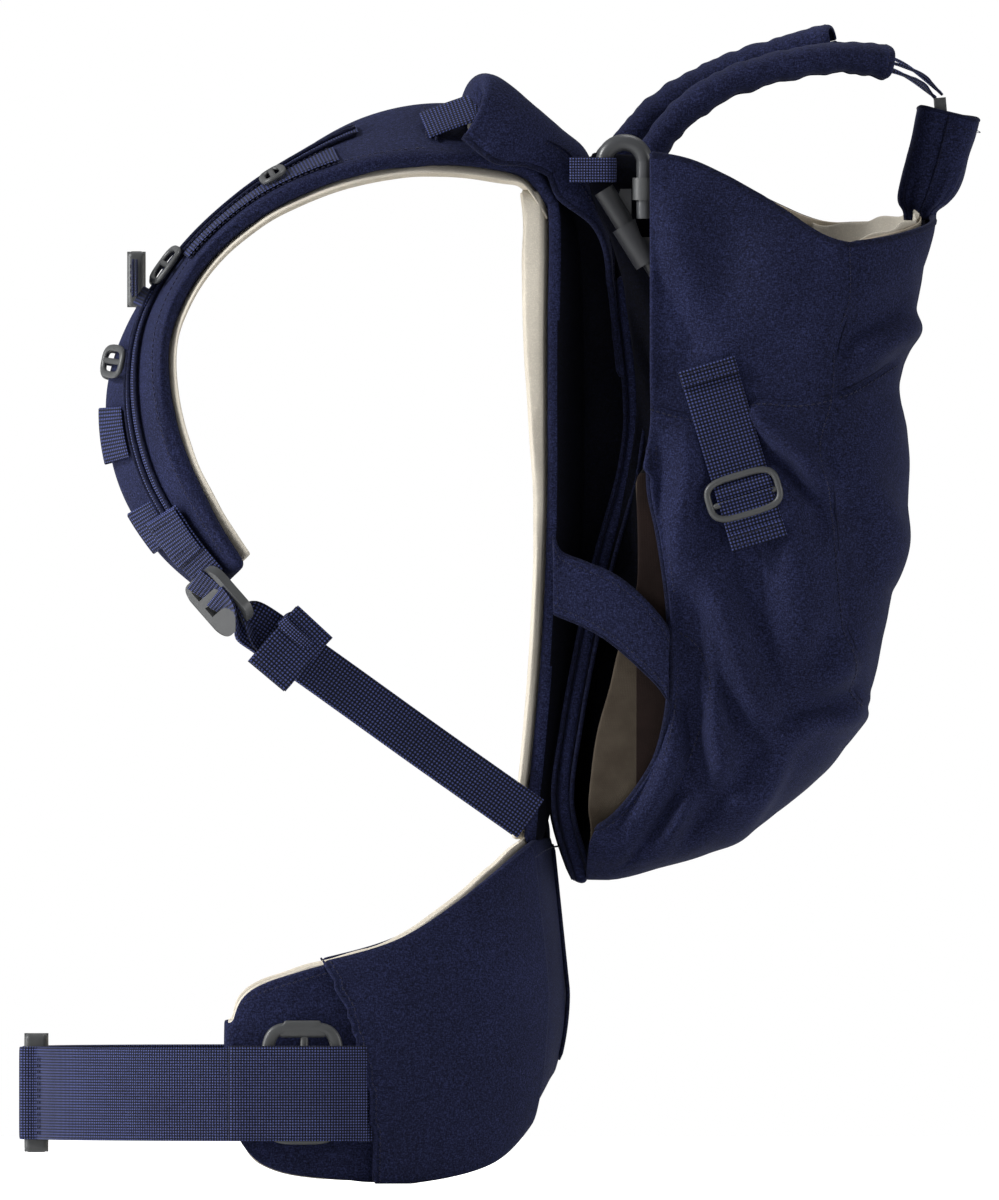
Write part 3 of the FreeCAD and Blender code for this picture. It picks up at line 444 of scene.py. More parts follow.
# ------------------------------------------------------------------ materials
class Nodes:
    """A material's node tree with short calls for the few nodes used here."""

    def __init__(self, name):
        self.material = bpy.data.materials.new(name)
        self.material.use_nodes = True
        self.tree = self.material.node_tree
        self.shader = self.tree.nodes["Principled BSDF"]
        self.coordinates = self.tree.nodes.new("ShaderNodeTexCoord")

    def link(self, source, target):
        self.tree.links.new(source, target)
        return source

    def node(self, kind, **values):
        made = self.tree.nodes.new(kind)
        for key, value in values.items():
            setattr(made, key, value)
        return made

    def math(self, operation, a, b=0.0):
        made = self.node("ShaderNodeMath", operation=operation)
        for socket, value in zip(made.inputs, (a, b)):
            if isinstance(value, (int, float)):
                socket.default_value = value
            else:
                self.link(value, socket)
        return made.outputs[0]

    def noise(self, scale, detail=2.0, rough=0.5, coordinates="Object", stretch=None):
        made = self.node("ShaderNodeTexNoise")
        made.inputs["Scale"].default_value = scale
        made.inputs["Detail"].default_value = detail
        made.inputs["Roughness"].default_value = rough
        source = self.coordinates.outputs[coordinates]
        if stretch:
            mapping = self.node("ShaderNodeMapping")
            mapping.inputs["Scale"].default_value = stretch
            self.link(source, mapping.inputs["Vector"])
            source = mapping.outputs[0]
        self.link(source, made.inputs["Vector"])
        return made.outputs[0]

    def ramp(self, value, stops):
        made = self.node("ShaderNodeValToRGB")
        elements = made.color_ramp.elements
        elements[0].position, elements[0].color = stops[0][0], (*stops[0][1], 1)
        elements[1].position, elements[1].color = stops[-1][0], (*stops[-1][1], 1)
        for position, colour in stops[1:-1]:
            elements.new(position).color = (*colour, 1)
        self.link(value, made.inputs[0])
        return made.outputs[0]

    def mix(self, share, a, b, blend="MIX"):
        made = self.node("ShaderNodeMix", data_type="RGBA", blend_type=blend)
        for name, value in (("Factor", share), ("A", a), ("B", b)):
            sockets = [s for s in made.inputs if s.name == name and s.enabled]
            socket = sockets[0]
            if isinstance(value, (int, float)):
                socket.default_value = value
            elif isinstance(value, tuple):
                socket.default_value = (*value, 1)
            else:
                self.link(value, socket)
        return [s for s in made.outputs if s.enabled][0]

    def bump(self, height, strength, distance, after=None):
        made = self.node("ShaderNodeBump")
        made.inputs["Strength"].default_value = strength
        made.inputs["Distance"].default_value = distance
        self.link(height, made.inputs["Height"])
        if after:
            self.link(after, made.inputs["Normal"])
        return made.outputs[0]

    def axes(self, output):
        made = self.node("ShaderNodeSeparateXYZ")
        self.link(self.coordinates.outputs[output], made.inputs[0])
        return made.outputs

    def wave(self, value, period):
        """A sine of a coordinate in metres, from 0 to 1."""
        turned = self.math("MULTIPLY", value, 2 * math.pi / period)
        return self.math("ADD", self.math("MULTIPLY", self.math("SINE", turned), 0.5), 0.5)

    def finish(self, colour, roughness, normal=None, sheen=0.0, metallic=0.0, specular=0.5):
        for name, value in (("Base Color", colour), ("Roughness", roughness)):
            if isinstance(value, tuple):
                self.shader.inputs[name].default_value = (*value, 1)
            elif isinstance(value, float):
                self.shader.inputs[name].default_value = value
            else:
                self.link(value, self.shader.inputs[name])
        if normal:
            self.link(normal, self.shader.inputs["Normal"])
        self.shader.inputs["Metallic"].default_value = metallic
        self.shader.inputs["Specular IOR Level"].default_value = specular
        self.shader.inputs["Sheen Weight"].default_value = sheen
        self.shader.inputs["Sheen Roughness"].default_value = 0.45
        return self.material


def shade(colour, factor):
    return tuple(min(c * factor, 1.0) for c in colour)


def woven_cloth(name, colour, sheen, weave=0.00065, soft=0.0006, sheen_tint=None, grain=1.25):
    """Plain-woven cloth: fine threads, slubs, faint creases and uneven dye."""
    n = Nodes(name)
    # Short threads run both ways; noise stands in for a regular grid, which would shimmer from afar.
    threads = n.noise(1.15 / weave, 2.0, 0.7, stretch=(1, 1, 0.45))
    slubs = n.noise(0.8 / weave, 2.0, 0.7, stretch=(0.45, 0.8, 1.2))
    dye = n.noise(14, 4.0, 0.55)
    creases = n.noise(46, 3.0, 0.55)
    base = n.ramp(dye, ((0.3, shade(colour, 0.82)), (0.52, colour), (0.74, shade(colour, 1.22))))
    fine = n.ramp(n.math("MULTIPLY", n.math("ADD", threads, slubs), 0.5),
                  ((0.34, shade((1, 1, 1), 1 - 0.8 * grain)), (0.5, (0.95, 0.95, 0.95)),
                   (0.66, (1 + 1.6 * grain, 1 + 1.6 * grain, 1 + 1.5 * grain))))
    colour_out = n.mix(0.85, base, fine, "MULTIPLY")
    rough = n.math("ADD", n.math("MULTIPLY", slubs, 0.16), 0.74)
    folds = n.bump(creases, 0.35, soft)
    normal = n.bump(n.math("ADD", threads, slubs), 0.5, 0.0003, folds)
    made = n.finish(colour_out, rough, normal, sheen, specular=0.1)
    n.shader.inputs["Sheen Tint"].default_value = (*(sheen_tint or (1, 1, 1)), 1)
    return made


def webbing(name, colour, pitch=0.0016, rib=0.0016, sheen=0.08):
    """Woven tape: raised ribs across it and rows of warp threads along it, with painted shade in the gaps and a
    painted highlight on the ribs' tops.
    """
    n = Nodes(name)
    u, v, _ = n.axes("UV")
    across = n.wave(u, pitch)
    warp = n.wave(v, rib)
    cells = n.math("MULTIPLY", n.math("POWER", across, 0.6), n.math("POWER", warp, 0.6))
    slubs = n.noise(700, 2.0, 0.6)
    height = n.math("ADD", cells, n.math("MULTIPLY", slubs, 0.35))
    wear = n.noise(30, 3.0, 0.6)
    # Painted shade and highlight: the colour falls to 6 per cent in the weave's gaps and rises to 3.6 times on
    # the ribs.
    base = n.ramp(cells, ((0.1, shade(colour, 0.06)), (0.5, shade(colour, 0.8)), (0.9, shade(colour, 3.6))))
    worn = n.ramp(wear, ((0.3, (0.84, 0.84, 0.86)), (0.7, (1.18, 1.18, 1.16))))
    made = n.finish(n.mix(0.8, base, worn, "MULTIPLY"), n.math("ADD", n.math("MULTIPLY", slubs, 0.2), 0.5),
                    n.bump(height, 0.8, 0.0005), sheen, specular=0.14)
    n.shader.inputs["Sheen Tint"].default_value = (0.72, 0.76, 1.0, 1)
    return made


def plastic(name, colour, rough, grain=1400.0, worn=1.9):
    """Moulded nylon: fine spark-eroded grain, softer colour on rubbed edges, faint flow marks."""
    n = Nodes(name)
    grainy = n.noise(grain, 2.0, 0.6)
    flow = n.noise(38, 3.0, 0.6)
    geometry = n.node("ShaderNodeNewGeometry")
    edge = n.ramp(geometry.outputs["Pointiness"], ((0.5, (0.0, 0.0, 0.0)), (0.58, (1.0, 1.0, 1.0))))
    base = n.ramp(flow, ((0.3, shade(colour, 0.88)), (0.7, shade(colour, 1.12))))
    made_colour = n.mix(n.math("MULTIPLY", edge, 0.4), base, shade(colour, worn))
    roughness = n.math("ADD", n.math("MULTIPLY", grainy, 0.16), rough - 0.08)
    return n.finish(made_colour, roughness, n.bump(grainy, 0.25, 0.00012), specular=0.5)


def metal(name, colour, rough, brushed=(1, 60, 1)):
    """Drawn metal: fine scratches along its length and small dull patches."""
    n = Nodes(name)
    scratches = n.noise(260, 3.0, 0.65, stretch=brushed)
    dull = n.noise(70, 3.0, 0.6)
    base = n.ramp(dull, ((0.3, shade(colour, 0.8)), (0.7, colour)))
    roughness = n.math("ADD", n.math("MULTIPLY", scratches, 0.22), rough - 0.06)
    return n.finish(base, roughness, n.bump(scratches, 0.15, 0.00008), metallic=1.0)


NAVY = (0.0112, 0.0138, 0.0420)
NAVY_TINT = (0.56, 0.62, 1.0)
cloth_navy = woven_cloth("cloth_navy", NAVY, 0.05, sheen_tint=NAVY_TINT)
cloth_piping = woven_cloth("cloth_piping", shade(NAVY, 0.6), 0.06, weave=0.0007, sheen_tint=NAVY_TINT)
cloth_shadow = woven_cloth("cloth_shadow", shade(NAVY, 0.12), 0.0, weave=0.0007)
cloth_cream = woven_cloth("cloth_cream", (0.66, 0.61, 0.52), 0.05, soft=0.0009, grain=0.1)
tape_fine = webbing("tape_fine", (0.024, 0.030, 0.084), pitch=0.0015, rib=0.0015)
tape_coarse = webbing("tape_coarse", (0.016, 0.021, 0.066), pitch=0.0019, rib=0.0019)
thread = woven_cloth("thread", (0.011, 0.012, 0.035), 0.2, weave=0.0004)
thread_cream = woven_cloth("thread_cream", (0.36, 0.33, 0.28), 0.1, weave=0.0004)
nylon_dark = plastic("nylon_dark", (0.052, 0.054, 0.056), 0.42)
nylon_grey = plastic("nylon_grey", (0.26, 0.265, 0.27), 0.5)
nylon_black = plastic("nylon_black", (0.017, 0.018, 0.021), 0.4)
hook_coat = plastic("hook_coat", (0.044, 0.046, 0.050), 0.36, worn=3.0)
silver = metal("silver", (0.50, 0.495, 0.48), 0.34)
steel = metal("steel", (0.30, 0.30, 0.30), 0.36)
for finish, node_names in (
    (silver, ("top_crossbar", "crossbar_end_caps", "strut_button_left", "strut_button_right")),
    (steel, ("back_stays",)),
    (hook_coat, ("frame_hooks",)),
    (nylon_black, ("strut_sockets", "seat_strut_left", "seat_strut_right")),
    (nylon_grey, ("harness_release_button",)),
    (nylon_dark, ("hook_collars", "ladder_lock_left", "ladder_lock_right", "belt_adjusters", "side_slider_left",
                  "side_slider_right", "waist_buckle_socket", "waist_buckle_plug", "waist_buckle_latch_arms",
                  "strap_clips", "chest_buckle_socket", "chest_buckle_plug", "chest_strap_sliders",
                  "chest_buckle_latch_arms", "harness_tongue", "harness_socket")),
):
    for node_name in node_names:
        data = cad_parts[node_name].data
        data.materials.clear()
        data.materials.append(finish)


# ------------------------------------------------------------------ shoulder straps
# Middle of the left strap: (x, y, z, share of the full width, tilt in degrees).
STRAP_STATIONS = (
    (-1.5, -55, 524, 0.96, 2), (-11, -59, 550, 1.0, 16), (-34, -65, 562, 1.05, 24), (-70, -73, 566, 1.08, 25),
    (-103, -80, 560, 1.03, 22), (-135, -87, 546, 1.0, 14), (-167, -94, 526, 1.0, 8),
    (-197, -101, 498, 1.0, 8),
    (-219, -108, 463, 1.0, 16), (-226, -114, 424, 1.02, 28), (-219, -120, 386, 1.0, 34),
    (-201, -126, 354, 0.9, 34), (-180, -130, 330, 0.72, 30),
)
STRAP_HALF = 0.034
PAD_OUTER = 0.0066


def tilted(run, tilt):
    """The across and out directions of a strap that runs along run and is tilted by some degrees."""
    inward = Vector((-run.z, 0, run.x))
    lean = math.radians(tilt)
    across = inward * math.sin(lean) - Y_AXIS * math.cos(lean)
    return across, -inward * math.cos(lean) - Y_AXIS * math.sin(lean)


def tilted_frames(stations, count):
    dense = even_path(stations, count)
    return [(at(x, y, z), *tilted(heading(dense, i, FROM_SIDE), tilt), share)
            for i, (x, y, z, share, tilt) in enumerate(dense)]


STRAP = tilted_frames(STRAP_STATIONS, 90)


def strap_point(place_, share, lift):
    """A point over the strap's outer face: place_ is 0 to 1 down the strap, share -1 to 1 across it."""
    position = place_ * (len(STRAP) - 1)
    n = min(int(position), len(STRAP) - 2)
    t = position - n
    centre, across, out = (a.lerp(b, t) for a, b in zip(STRAP[n][:3], STRAP[n + 1][:3]))
    across, out = across.normalized(), out.normalized()
    width = STRAP[n][3] * (1 - t) + STRAP[n + 1][3] * t
    crown = 0.0012 * (1 - share * share)
    return centre + across * (share * STRAP_HALF * width) + out * (PAD_OUTER + crown + lift), across, out


def zip_share(place_):
    """The zip runs along the outer edge at the shoulder and comes to the middle down the chest."""
    return -0.30 + 0.42 * ramp(place_, 0.42, 0.78)


def strap_run(low, high, share, lift, count=60):
    """Frames for a tape sewn along the strap; share is a number or a function of the place."""
    frames = []
    for i in range(count):
        here = low + (high - low) * i / (count - 1)
        frames.append((*strap_point(here, share(here) if callable(share) else share, lift), 1.0))
    return frames


def shoulder_straps():
    cover = rounded_strip("strap_cover_left", STRAP, STRAP_HALF - 0.0006, -0.0038, PAD_OUTER - 0.0012,
                          cloth_navy)
    inflate(cover, 3.0, 0.0014)
    for shell in (cover, mirror_copy(cover, "strap_cover_right")):
        place(shell, "carrier", "navy_fabric", ("shoulder_strap_covers", "shoulder_strap_foams"))
    ruffled = []
    for centre, across, out, share in STRAP:
        ruffled.append((centre + out * 0.00025 * wobble(centre, 0.016, 3.0), across, out,
                        share * (1.012 + 0.022 * wobble(centre, 0.021))))
    low, high = 0.30, 0.985
    for side, sign in SIDES:
        lining = rounded_strip(f"strap_lining_{side}", ruffled, STRAP_HALF, -0.0068, -0.0036, cloth_cream,
                               side=sign, power=0.7)
        place(polish(lining), "carrier", "cream_lining", ("shoulder_strap_linings",), sign)
        pieces = [rounded_strip(f"strap_zip_tape_{side}", strap_run(low, high, zip_share, -0.0004),
                                0.0052, 0.0, 0.0011, tape_fine, side=sign, points=16)]
        for n, (step, lift, radius) in enumerate(((0, 0.0013, 0.0013), (-0.18, 0.0002, 0.0011),
                                                  (0.17, 0.0002, 0.0011))):
            path = column(strap_run(low, high, lambda here: zip_share(here) + step, lift, 91), 0)
            pieces.append(cord(f"strap_zip_cord_{side}_{n}", path, radius, cloth_piping, side=sign, sides=8))
        place(join(pieces, f"strap_zip_{side}"), "carrier", "navy_webbing", ("strap_zips",), sign)
        # The seam across the strap at the crossbar, and the row of stitches beside the edge.
        seam = [strap_point(0.205, -0.6 + 1.2 * i / 24, -0.0003) for i in range(25)]
        row = [strap_point(0.218, -0.58 + 1.16 * i / 24, 0.0) for i in range(25)]
        edge = [strap_point(0.22 + 0.76 * i / 120, 0.84, -0.0004) for i in range(121)]
        pieces = [cord(f"strap_cross_seam_{side}", column(seam, 0), 0.0008, cloth_piping, side=sign, sides=6),
                  stitch_row(f"strap_cross_stitch_{side}", row, sign),
                  stitch_row(f"strap_edge_stitch_{side}", edge, sign)]
        place(join(pieces, f"strap_seams_{side}"), "carrier", "navy_fabric")


def strap_tapes():
    """Loops, tabs and the load lifter, sewn over the strap's outer face."""
    lifter_path = ((-72, -82, 571), (-62, -82.5, 575), (-52, -83, 578.5), (-45, -83, 580.8), (-38, -83, 579))
    dense = even_path(lifter_path, 34)
    lifter_frames = [(at(*dense[i]), *tilted(-heading(dense, i, FROM_SIDE), 36), 1.0) for i in range(34)]
    for side, sign in SIDES:
        def strip(name, frames, half, low, high, points):
            return rounded_strip(f"strap_{name}_{side}", frames, half, low, high, tape_coarse, side=sign,
                                 points=points)

        made = []
        for n, (low, high, share, half) in enumerate(
            ((0.62, 0.64, -0.36, 0.013), (0.760, 0.815, -0.52, 0.0125), (0.875, 0.925, -0.45, 0.0125))
        ):
            made.append(strip(f"loop_{n}", strap_run(low, high, share, 0.0004, 12), half, 0.0, 0.0017, 20))
        # A wide tape along the near half of the shoulder, stitched down both edges.
        made.append(strip("yoke_tape", strap_run(0.335, 0.56, 0.42, -0.0007, 40), 0.0125, 0.0, 0.0011, 24))
        for n, share in enumerate((0.12, 0.72)):
            line = strap_run(0.34, 0.555, share, 0.0006, 80)
            made.append(stitch_row(f"strap_yoke_stitch_{side}_{n}", line, sign))
        place(join(made, f"strap_loops_{side}"), "carrier", "navy_webbing", ("strap_webbing_loops",), sign)
        tab = [strip("tab_a", strap_run(0.895, 0.992, 0.1, 0.0016, 16), 0.0155, 0.0, 0.0018, 24),
               strip("tab_b", strap_run(0.897, 0.955, 0.1, 0.0035, 12), 0.0152, 0.0, 0.0018, 24)]
        for n, position in enumerate((0.905, 0.945)):
            line = [strap_point(position, 0.1 - 0.38 + 0.76 * i / 16, 0.0054) for i in range(17)]
            tab.append(stitch_row(f"strap_tab_stitch_{side}_{n}", line, sign))
        place(join(tab, f"strap_end_tab_{side}"), "carrier", "navy_webbing", ("strap_end_tabs",), sign)
        lifter = rounded_strip(f"load_lifter_{side}", lifter_frames, 0.0125, -0.0002, 0.0015, tape_coarse,
                               side=sign, points=20)
        place(lifter, "carrier", "navy_webbing", ("load_lifter_webbings",), sign)


# ------------------------------------------------------------------ back panel and hood
PANEL_STATIONS = (
    (-16.5, 188, 82), (-8, 240, 92), (-1, 300, 100), (3, 370, 105), (3, 460, 105), (0, 516, 93),
    (-4, 536, 86),
)
HOOD_PATH = (
    (-51, 574), (-50.5, 583), (-49, 591), (-43, 597.5), (-34, 596), (-13, 579.3), (0, 568), (12.5, 558),
    (20.5, 539), (25, 521.5), (27.4, 501), (28.8, 480), (31.8, 455), (33.6, 436),
)
FRONT_STATIONS = (
    (33, 487, 82), (40, 424, 88), (37, 386, 90), (24, 338, 92), (15, 296, 92), (6.5, 250, 90), (1.5, 205, 84),
    (12.5, 166.5, 62),
)


def upright_frames(stations, count, full_half):
    """Frames up a panel; the width share is against full_half millimetres."""
    dense = even_path([(x, 0, z, half) for x, z, half in stations], count)
    frames = []
    for i, (x, y, z, half) in enumerate(dense):
        run = heading(dense, i, FROM_SIDE)
        out = Vector((abs(run.z), 0, -run.x * math.copysign(1, run.z)))
        frames.append((at(x, y, z), -Y_AXIS, out, half / full_half))
    return frames


def curl(made):
    """The panel's sides bend round the wearer's back."""
    for vertex in made.data.vertices:
        vertex.co.x -= max(abs(vertex.co.y) - 0.072, 0.0) * 0.3
    return made


def back_panel():
    frames = upright_frames(PANEL_STATIONS, 46, 105)
    cover = curl(rounded_strip("back_panel_cover", frames, 0.105, -0.0030, 0.0086, cloth_navy, points=60,
                               power=0.4))
    inflate(cover, 3.0, 0.0014)
    # Its rear face, between the panel and the seat, is in deep shadow.
    cover.data.materials.append(cloth_shadow)
    for face in cover.data.polygons:
        if face.normal.x > 0.55:
            face.material_index = 1
    place(cover, "carrier", "navy_fabric", ("back_panel_cover", "back_panel_foam", "back_stays"))
    ruffled = [(c + o * 0.0003 * wobble(c, 0.03), a, o, s * (1.0 + 0.006 * wobble(c, 0.018, 5.0)))
               for c, a, o, s in frames]
    lining = rounded_strip("back_panel_lining", ruffled, 0.1052, -0.0066, -0.0026, cloth_cream, points=60,
                           power=0.5)
    # The lining is fuller towards the top, where it turns into the straps.
    for vertex in lining.data.vertices:
        height = (vertex.co.z - ORIGIN.z) * 1000
        centre = follow(tuple((z, x) for x, z, _ in PANEL_STATIONS), height)
        if (vertex.co.x - ORIGIN.x) * 1000 < centre - 4:
            fold = 0.0012 * wobble(vertex.co, 0.016, 7.0) * ramp(height, 470, 530)
            vertex.co.x -= 0.0075 * ramp(height, 330, 500) + fold
    place(polish(curl(lining)), "carrier", "cream_lining", ("back_panel_lining",))
    rows = []
    for n, offset in enumerate((-60, 60)):
        path = [c + Y_AXIS * (offset * 0.001) - o * 0.0067 for c, _, o, _ in frames]
        rows.append(stitches(f"panel_stitch_{n}", path, [-o for o in column(frames, 2)], thread_cream,
                             length=0.003))
    place(join(rows, "back_panel_quilting"), "carrier", "cream_lining")


def hood_width(x):
    """Half width of the hood at a place along it, and how far its sides hang, in millimetres."""
    flap = ramp(x, -48, -37) * (1 - ramp(x, -16, 4))
    rear = ramp(x, -16, 4)
    tail = ramp(x, 22, 29)
    hang = 9 + 27 * flap + 13 * rear * (1 - ramp(x, 19, 27.5)) - 8 * tail
    return 84 + 23 * flap + 6 * rear - 8 * tail, hang


def follow_seat(made):
    """Bake the hood's transform into its mesh; nothing ties its lower end to the seat's front panel."""
    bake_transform(made)


def hood():
    dense = even_path([(x, 0, z) for x, z in HOOD_PATH], 64)
    rows = []
    for i, (x, _, z) in enumerate(dense):
        run = heading(dense, i, FROM_SIDE)
        inside = Vector((run.z, 0, -run.x))
        half, hang = hood_width(x)
        row = []
        for j in range(61):
            share = j / 30 - 1
            turn = max(abs(share) - 0.6, 0.0) / 0.4 * math.pi / 2
            y = min(abs(share) / 0.6, 1.0) * (half - 22) + 22 * math.sin(turn)
            drop = hang * (1 - math.cos(turn)) ** 0.8
            spot = at(x, math.copysign(y, share), z) + inside * (drop * 0.001)
            crease = 0.0011 * wobble(spot, 0.028, 2.0) + 0.0005 * wobble(spot, 0.012, 4.0)
            crease -= 0.0022 * bump(x + 0.5 * abs(y), -4, 4) * ramp(abs(share), 0.5, 0.8)
            row.append(spot - inside * (crease * ramp(abs(y), 0, 30)))
        rows.append(row)
    cloth = sheet("top_hood_cloth", rows, cloth_navy, 0.0032, outward=-1)
    follow_seat(polish(cloth))
    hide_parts("top_hood")
    seam, row, normals = [], [], []
    for i in range(22, len(rows) - 1):
        over = (rows[i][8] - rows[i][4]).normalized()
        normal = heading(column(rows, 6), i).cross(over).normalized()
        normal = -normal if normal.y > 0 else normal
        seam.append(rows[i][6] + normal * 0.0016)
        row.append(rows[i][5].lerp(rows[i][6], 0.3) + normal * 0.0016)
        normals.append(normal)
    pieces = []
    for side, sign in SIDES:
        pieces.append(cord(f"hood_edge_{side}", column(rows, 0), 0.0020, cloth_piping, side=sign))
        pieces.append(cord(f"hood_seam_{side}", seam, 0.0008, cloth_piping, side=sign, sides=6))
        pieces.append(stitches(f"hood_stitch_{side}", row, normals, thread, side=sign))
    follow_seat(join(pieces, "top_hood_seams"))


def seat_front():
    frames = upright_frames(FRONT_STATIONS, 50, 92)
    frames.reverse()
    cushion = rounded_strip("seat_front_cushion", frames, 0.0905, -0.0046, 0.0046, cloth_navy, points=44,
                            power=0.42)
    inflate(cushion, 3.5, 0.0014)
    place(cushion, "seat", "navy_fabric", ("seat_front_panel",))
    pieces = []
    for side, sign in SIDES:
        for n, depth in enumerate((-0.0050, 0.0050)):
            path = [c - Y_AXIS * (0.0905 * s - 0.0012) + o * depth for c, _, o, s in frames]
            pieces.append(cord(f"seat_front_piping_{side}_{n}", path, 0.0013, cloth_piping, side=sign, sides=8))
    place(join(pieces, "seat_front_piping"), "seat", "navy_fabric")


# Where the wraps start, at each height: (z, x).
WRAP_FRONT = (
    (318, 23), (340, 26), (384, 36.5), (424, 41), (487, 34), (510, 27), (530, 18), (546, 15), (557, 17),
)


def side_wraps():
    """Near-black cloth from the seat's front panel back into the pouch on each side, behind the struts: a sheet
    of painted shade where the pouch's front lies in shadow.
    """
    rows = []
    for i in range(52):
        z = 318 + 239 * i / 51
        front = follow(WRAP_FRONT, z)
        row = []
        for j in range(15):
            t = j / 14
            fold = 1.5 * math.sin(z / 9 + 5 * t) * math.sin(math.pi * t)
            row.append(at(front + (60 - front) * t, -87 - 2.0 * t + fold, z - 3 * t * ramp(z, 500, 546)))
        rows.append(row)
    for side, sign in SIDES:
        wrap = sheet(f"seat_side_shade_wrap_{side}", rows, cloth_shadow, 0.0014, side=sign)
        place(polish(wrap), "seat", "navy_fabric")


def seat_shade_saddle():
    """The padded saddle between the two leg openings, near-black with painted shade where the seat's middle
    lies in shadow.
    """
    rings = []
    for i in range(25):
        t = i / 24
        y = -46 + 92 * t
        full = math.sin(math.pi * min(max(t, 0.02), 0.98)) ** 0.28
        ring = []
        for angle in circle(36):
            deep = signed_power(math.cos(angle), 0.7) * 20 * full
            tall = signed_power(math.sin(angle), 0.6) * 86 * full
            ring.append(at(28 + deep + 0.07 * tall, y, 260 + tall))
        rings.append(ring)
    place(polish(tube("seat_shade_saddle", rings, cloth_shadow)), "seat", "navy_fabric")


# ------------------------------------------------------------------ hip belt
# The left half of the belt seen from above: (x, y, lowest z, highest z, inward lean of the top edge).
BELT_STATIONS = (
    (1, -45, 56, 189.5, 9), (-10, -90, 38, 186, 8), (-38, -128, 14, 166, 6), (-86, -148, 3, 134, 3),
    (-136, -154, 4, 119, 1), (-162, -153.4, 11, 110.5, 0), (-173, -151.8, 24, 102, 0),
    (-177, -151.2, 38, 90, 0),
)
LUMBAR_STATIONS = (
    (0.6, 44.6, 58, 199, 13), (1.8, 24, 58, 200, 13), (2.4, 0, 58, 201, 13), (1.8, -24, 58, 200, 13),
    (0.6, -44.6, 58, 199, 13),
)
KNEE_Z = 105


def belt_path(stations, count):
    """Even stations with the outward normal of each."""
    dense = even_path(stations, count)
    found = []
    for i, values in enumerate(dense):
        run = heading(dense, i, FROM_ABOVE)
        normal = Vector((-run.y, run.x, 0))
        # The two wings meet in a smooth curve behind the wearer.
        if i == 0 and stations is BELT_STATIONS:
            normal = (X_AXIS + normal).normalized()
        found.append((*values, normal))
    return found


def belt_point(station, z, lift):
    """A point on the belt at a height, lifted off its middle surface along the normal."""
    x, y, low_z, high_z, lean, normal = station
    knee = min(KNEE_Z, (low_z + high_z) / 2 + 10)
    shift = -lean * max(z - knee, 0.0) / max(high_z - knee, 1.0)
    tuck = 9 + 3 * max(lean - 9, 0)
    shift -= tuck * ramp(x, -60, 0) * (max(knee - z, 0.0) / max(knee - low_z, 1.0)) ** 2
    return at(x, y, z) + normal * (lift + shift * 0.001)


def belt_pad(name, stations, count, low, high, material, rise=0.0, power=0.42, ruffle=0.0, side=1):
    rings = []
    middle, half = (low + high) / 2, (high - low) / 2
    path = belt_path(stations, count)
    for station in path:
        low_z, high_z = station[2] + 1.2, station[3] - 1.2 + rise
        if ruffle:
            high_z += ruffle * wobble(at(station[0], station[1], high_z), 0.017)
        centre_z, reach = (low_z + high_z) / 2, (high_z - low_z) / 2
        rings.append([belt_point(station, centre_z + signed_power(math.cos(angle), power) * reach,
                                 middle + signed_power(math.sin(angle), power) * half)
                      for angle in circle(48)])
    # Both ends close with a rounded edge.
    for end in (0, -1):
        ring = rings[end]
        normal = path[end][5]
        run = Vector((normal.y, -normal.x, 0)) * (-1 if end == 0 else 1)
        centre = sum(ring, Vector()) / len(ring)
        extra = []
        for turn in (35, 65, 85):
            flat = 1 - math.cos(math.radians(turn))
            step = run * (half * math.sin(math.radians(turn)))
            extra.append([centre + (p - centre) * (1 - flat * 0.05)
                          - normal * ((p - centre).dot(normal) * flat * 0.9) + step for p in ring])
        rings = list(reversed(extra)) + rings if end == 0 else rings + extra
    return tube(name, rings, material, side=side)


def hip_belt():
    lumbar = belt_pad("lumbar_cover", LUMBAR_STATIONS, 30, -0.0036, PAD_OUTER - 0.0012, cloth_navy)
    inflate(lumbar, 3.0, 0.0012)
    place(lumbar, "carrier", "navy_fabric", ("lumbar_cover", "lumbar_foam"))
    lining = belt_pad("lumbar_lining", LUMBAR_STATIONS, 40, -0.0068, -0.0030, cloth_cream, 0.4, 0.6, 0.5)
    place(polish(lining), "carrier", "cream_lining", ("lumbar_lining",))
    wing = belt_pad("hip_wing_cover_left", BELT_STATIONS, 44, -0.0036, PAD_OUTER - 0.0014, cloth_navy)
    inflate(wing, 3.0, 0.0012)
    place(mirror_copy(wing, "hip_wing_cover_right"), "carrier", "navy_fabric")
    place(wing, "carrier", "navy_fabric", ("hip_wing_covers", "hip_wing_foams"))
    path = belt_path(BELT_STATIONS, 44)
    first = path[1]
    low, high = first[2] + 14, first[3] - 5
    seam = [belt_point(first, low + (high - low) * k / 30, 0.0048) for k in range(31)]
    top_edge = [belt_point(station, station[3] - 6.5, PAD_OUTER + 0.0004) for station in path[:-2]]
    for side, sign in SIDES:
        lining = belt_pad(f"hip_wing_lining_{side}", BELT_STATIONS, 90, -0.0068, -0.0028, cloth_cream, 0.6, 0.6,
                          0.7, side=sign)
        place(polish(lining), "carrier", "cream_lining", ("hip_wing_linings",), sign)
        pieces = [cord(f"wing_seam_{side}", seam, 0.0012, cloth_piping, side=sign, sides=8),
                  stitches(f"wing_stitch_{side}", top_edge, column(path[:-2], 5), thread, side=sign)]
        place(join(pieces, f"hip_wing_seams_{side}"), "carrier", "navy_fabric")


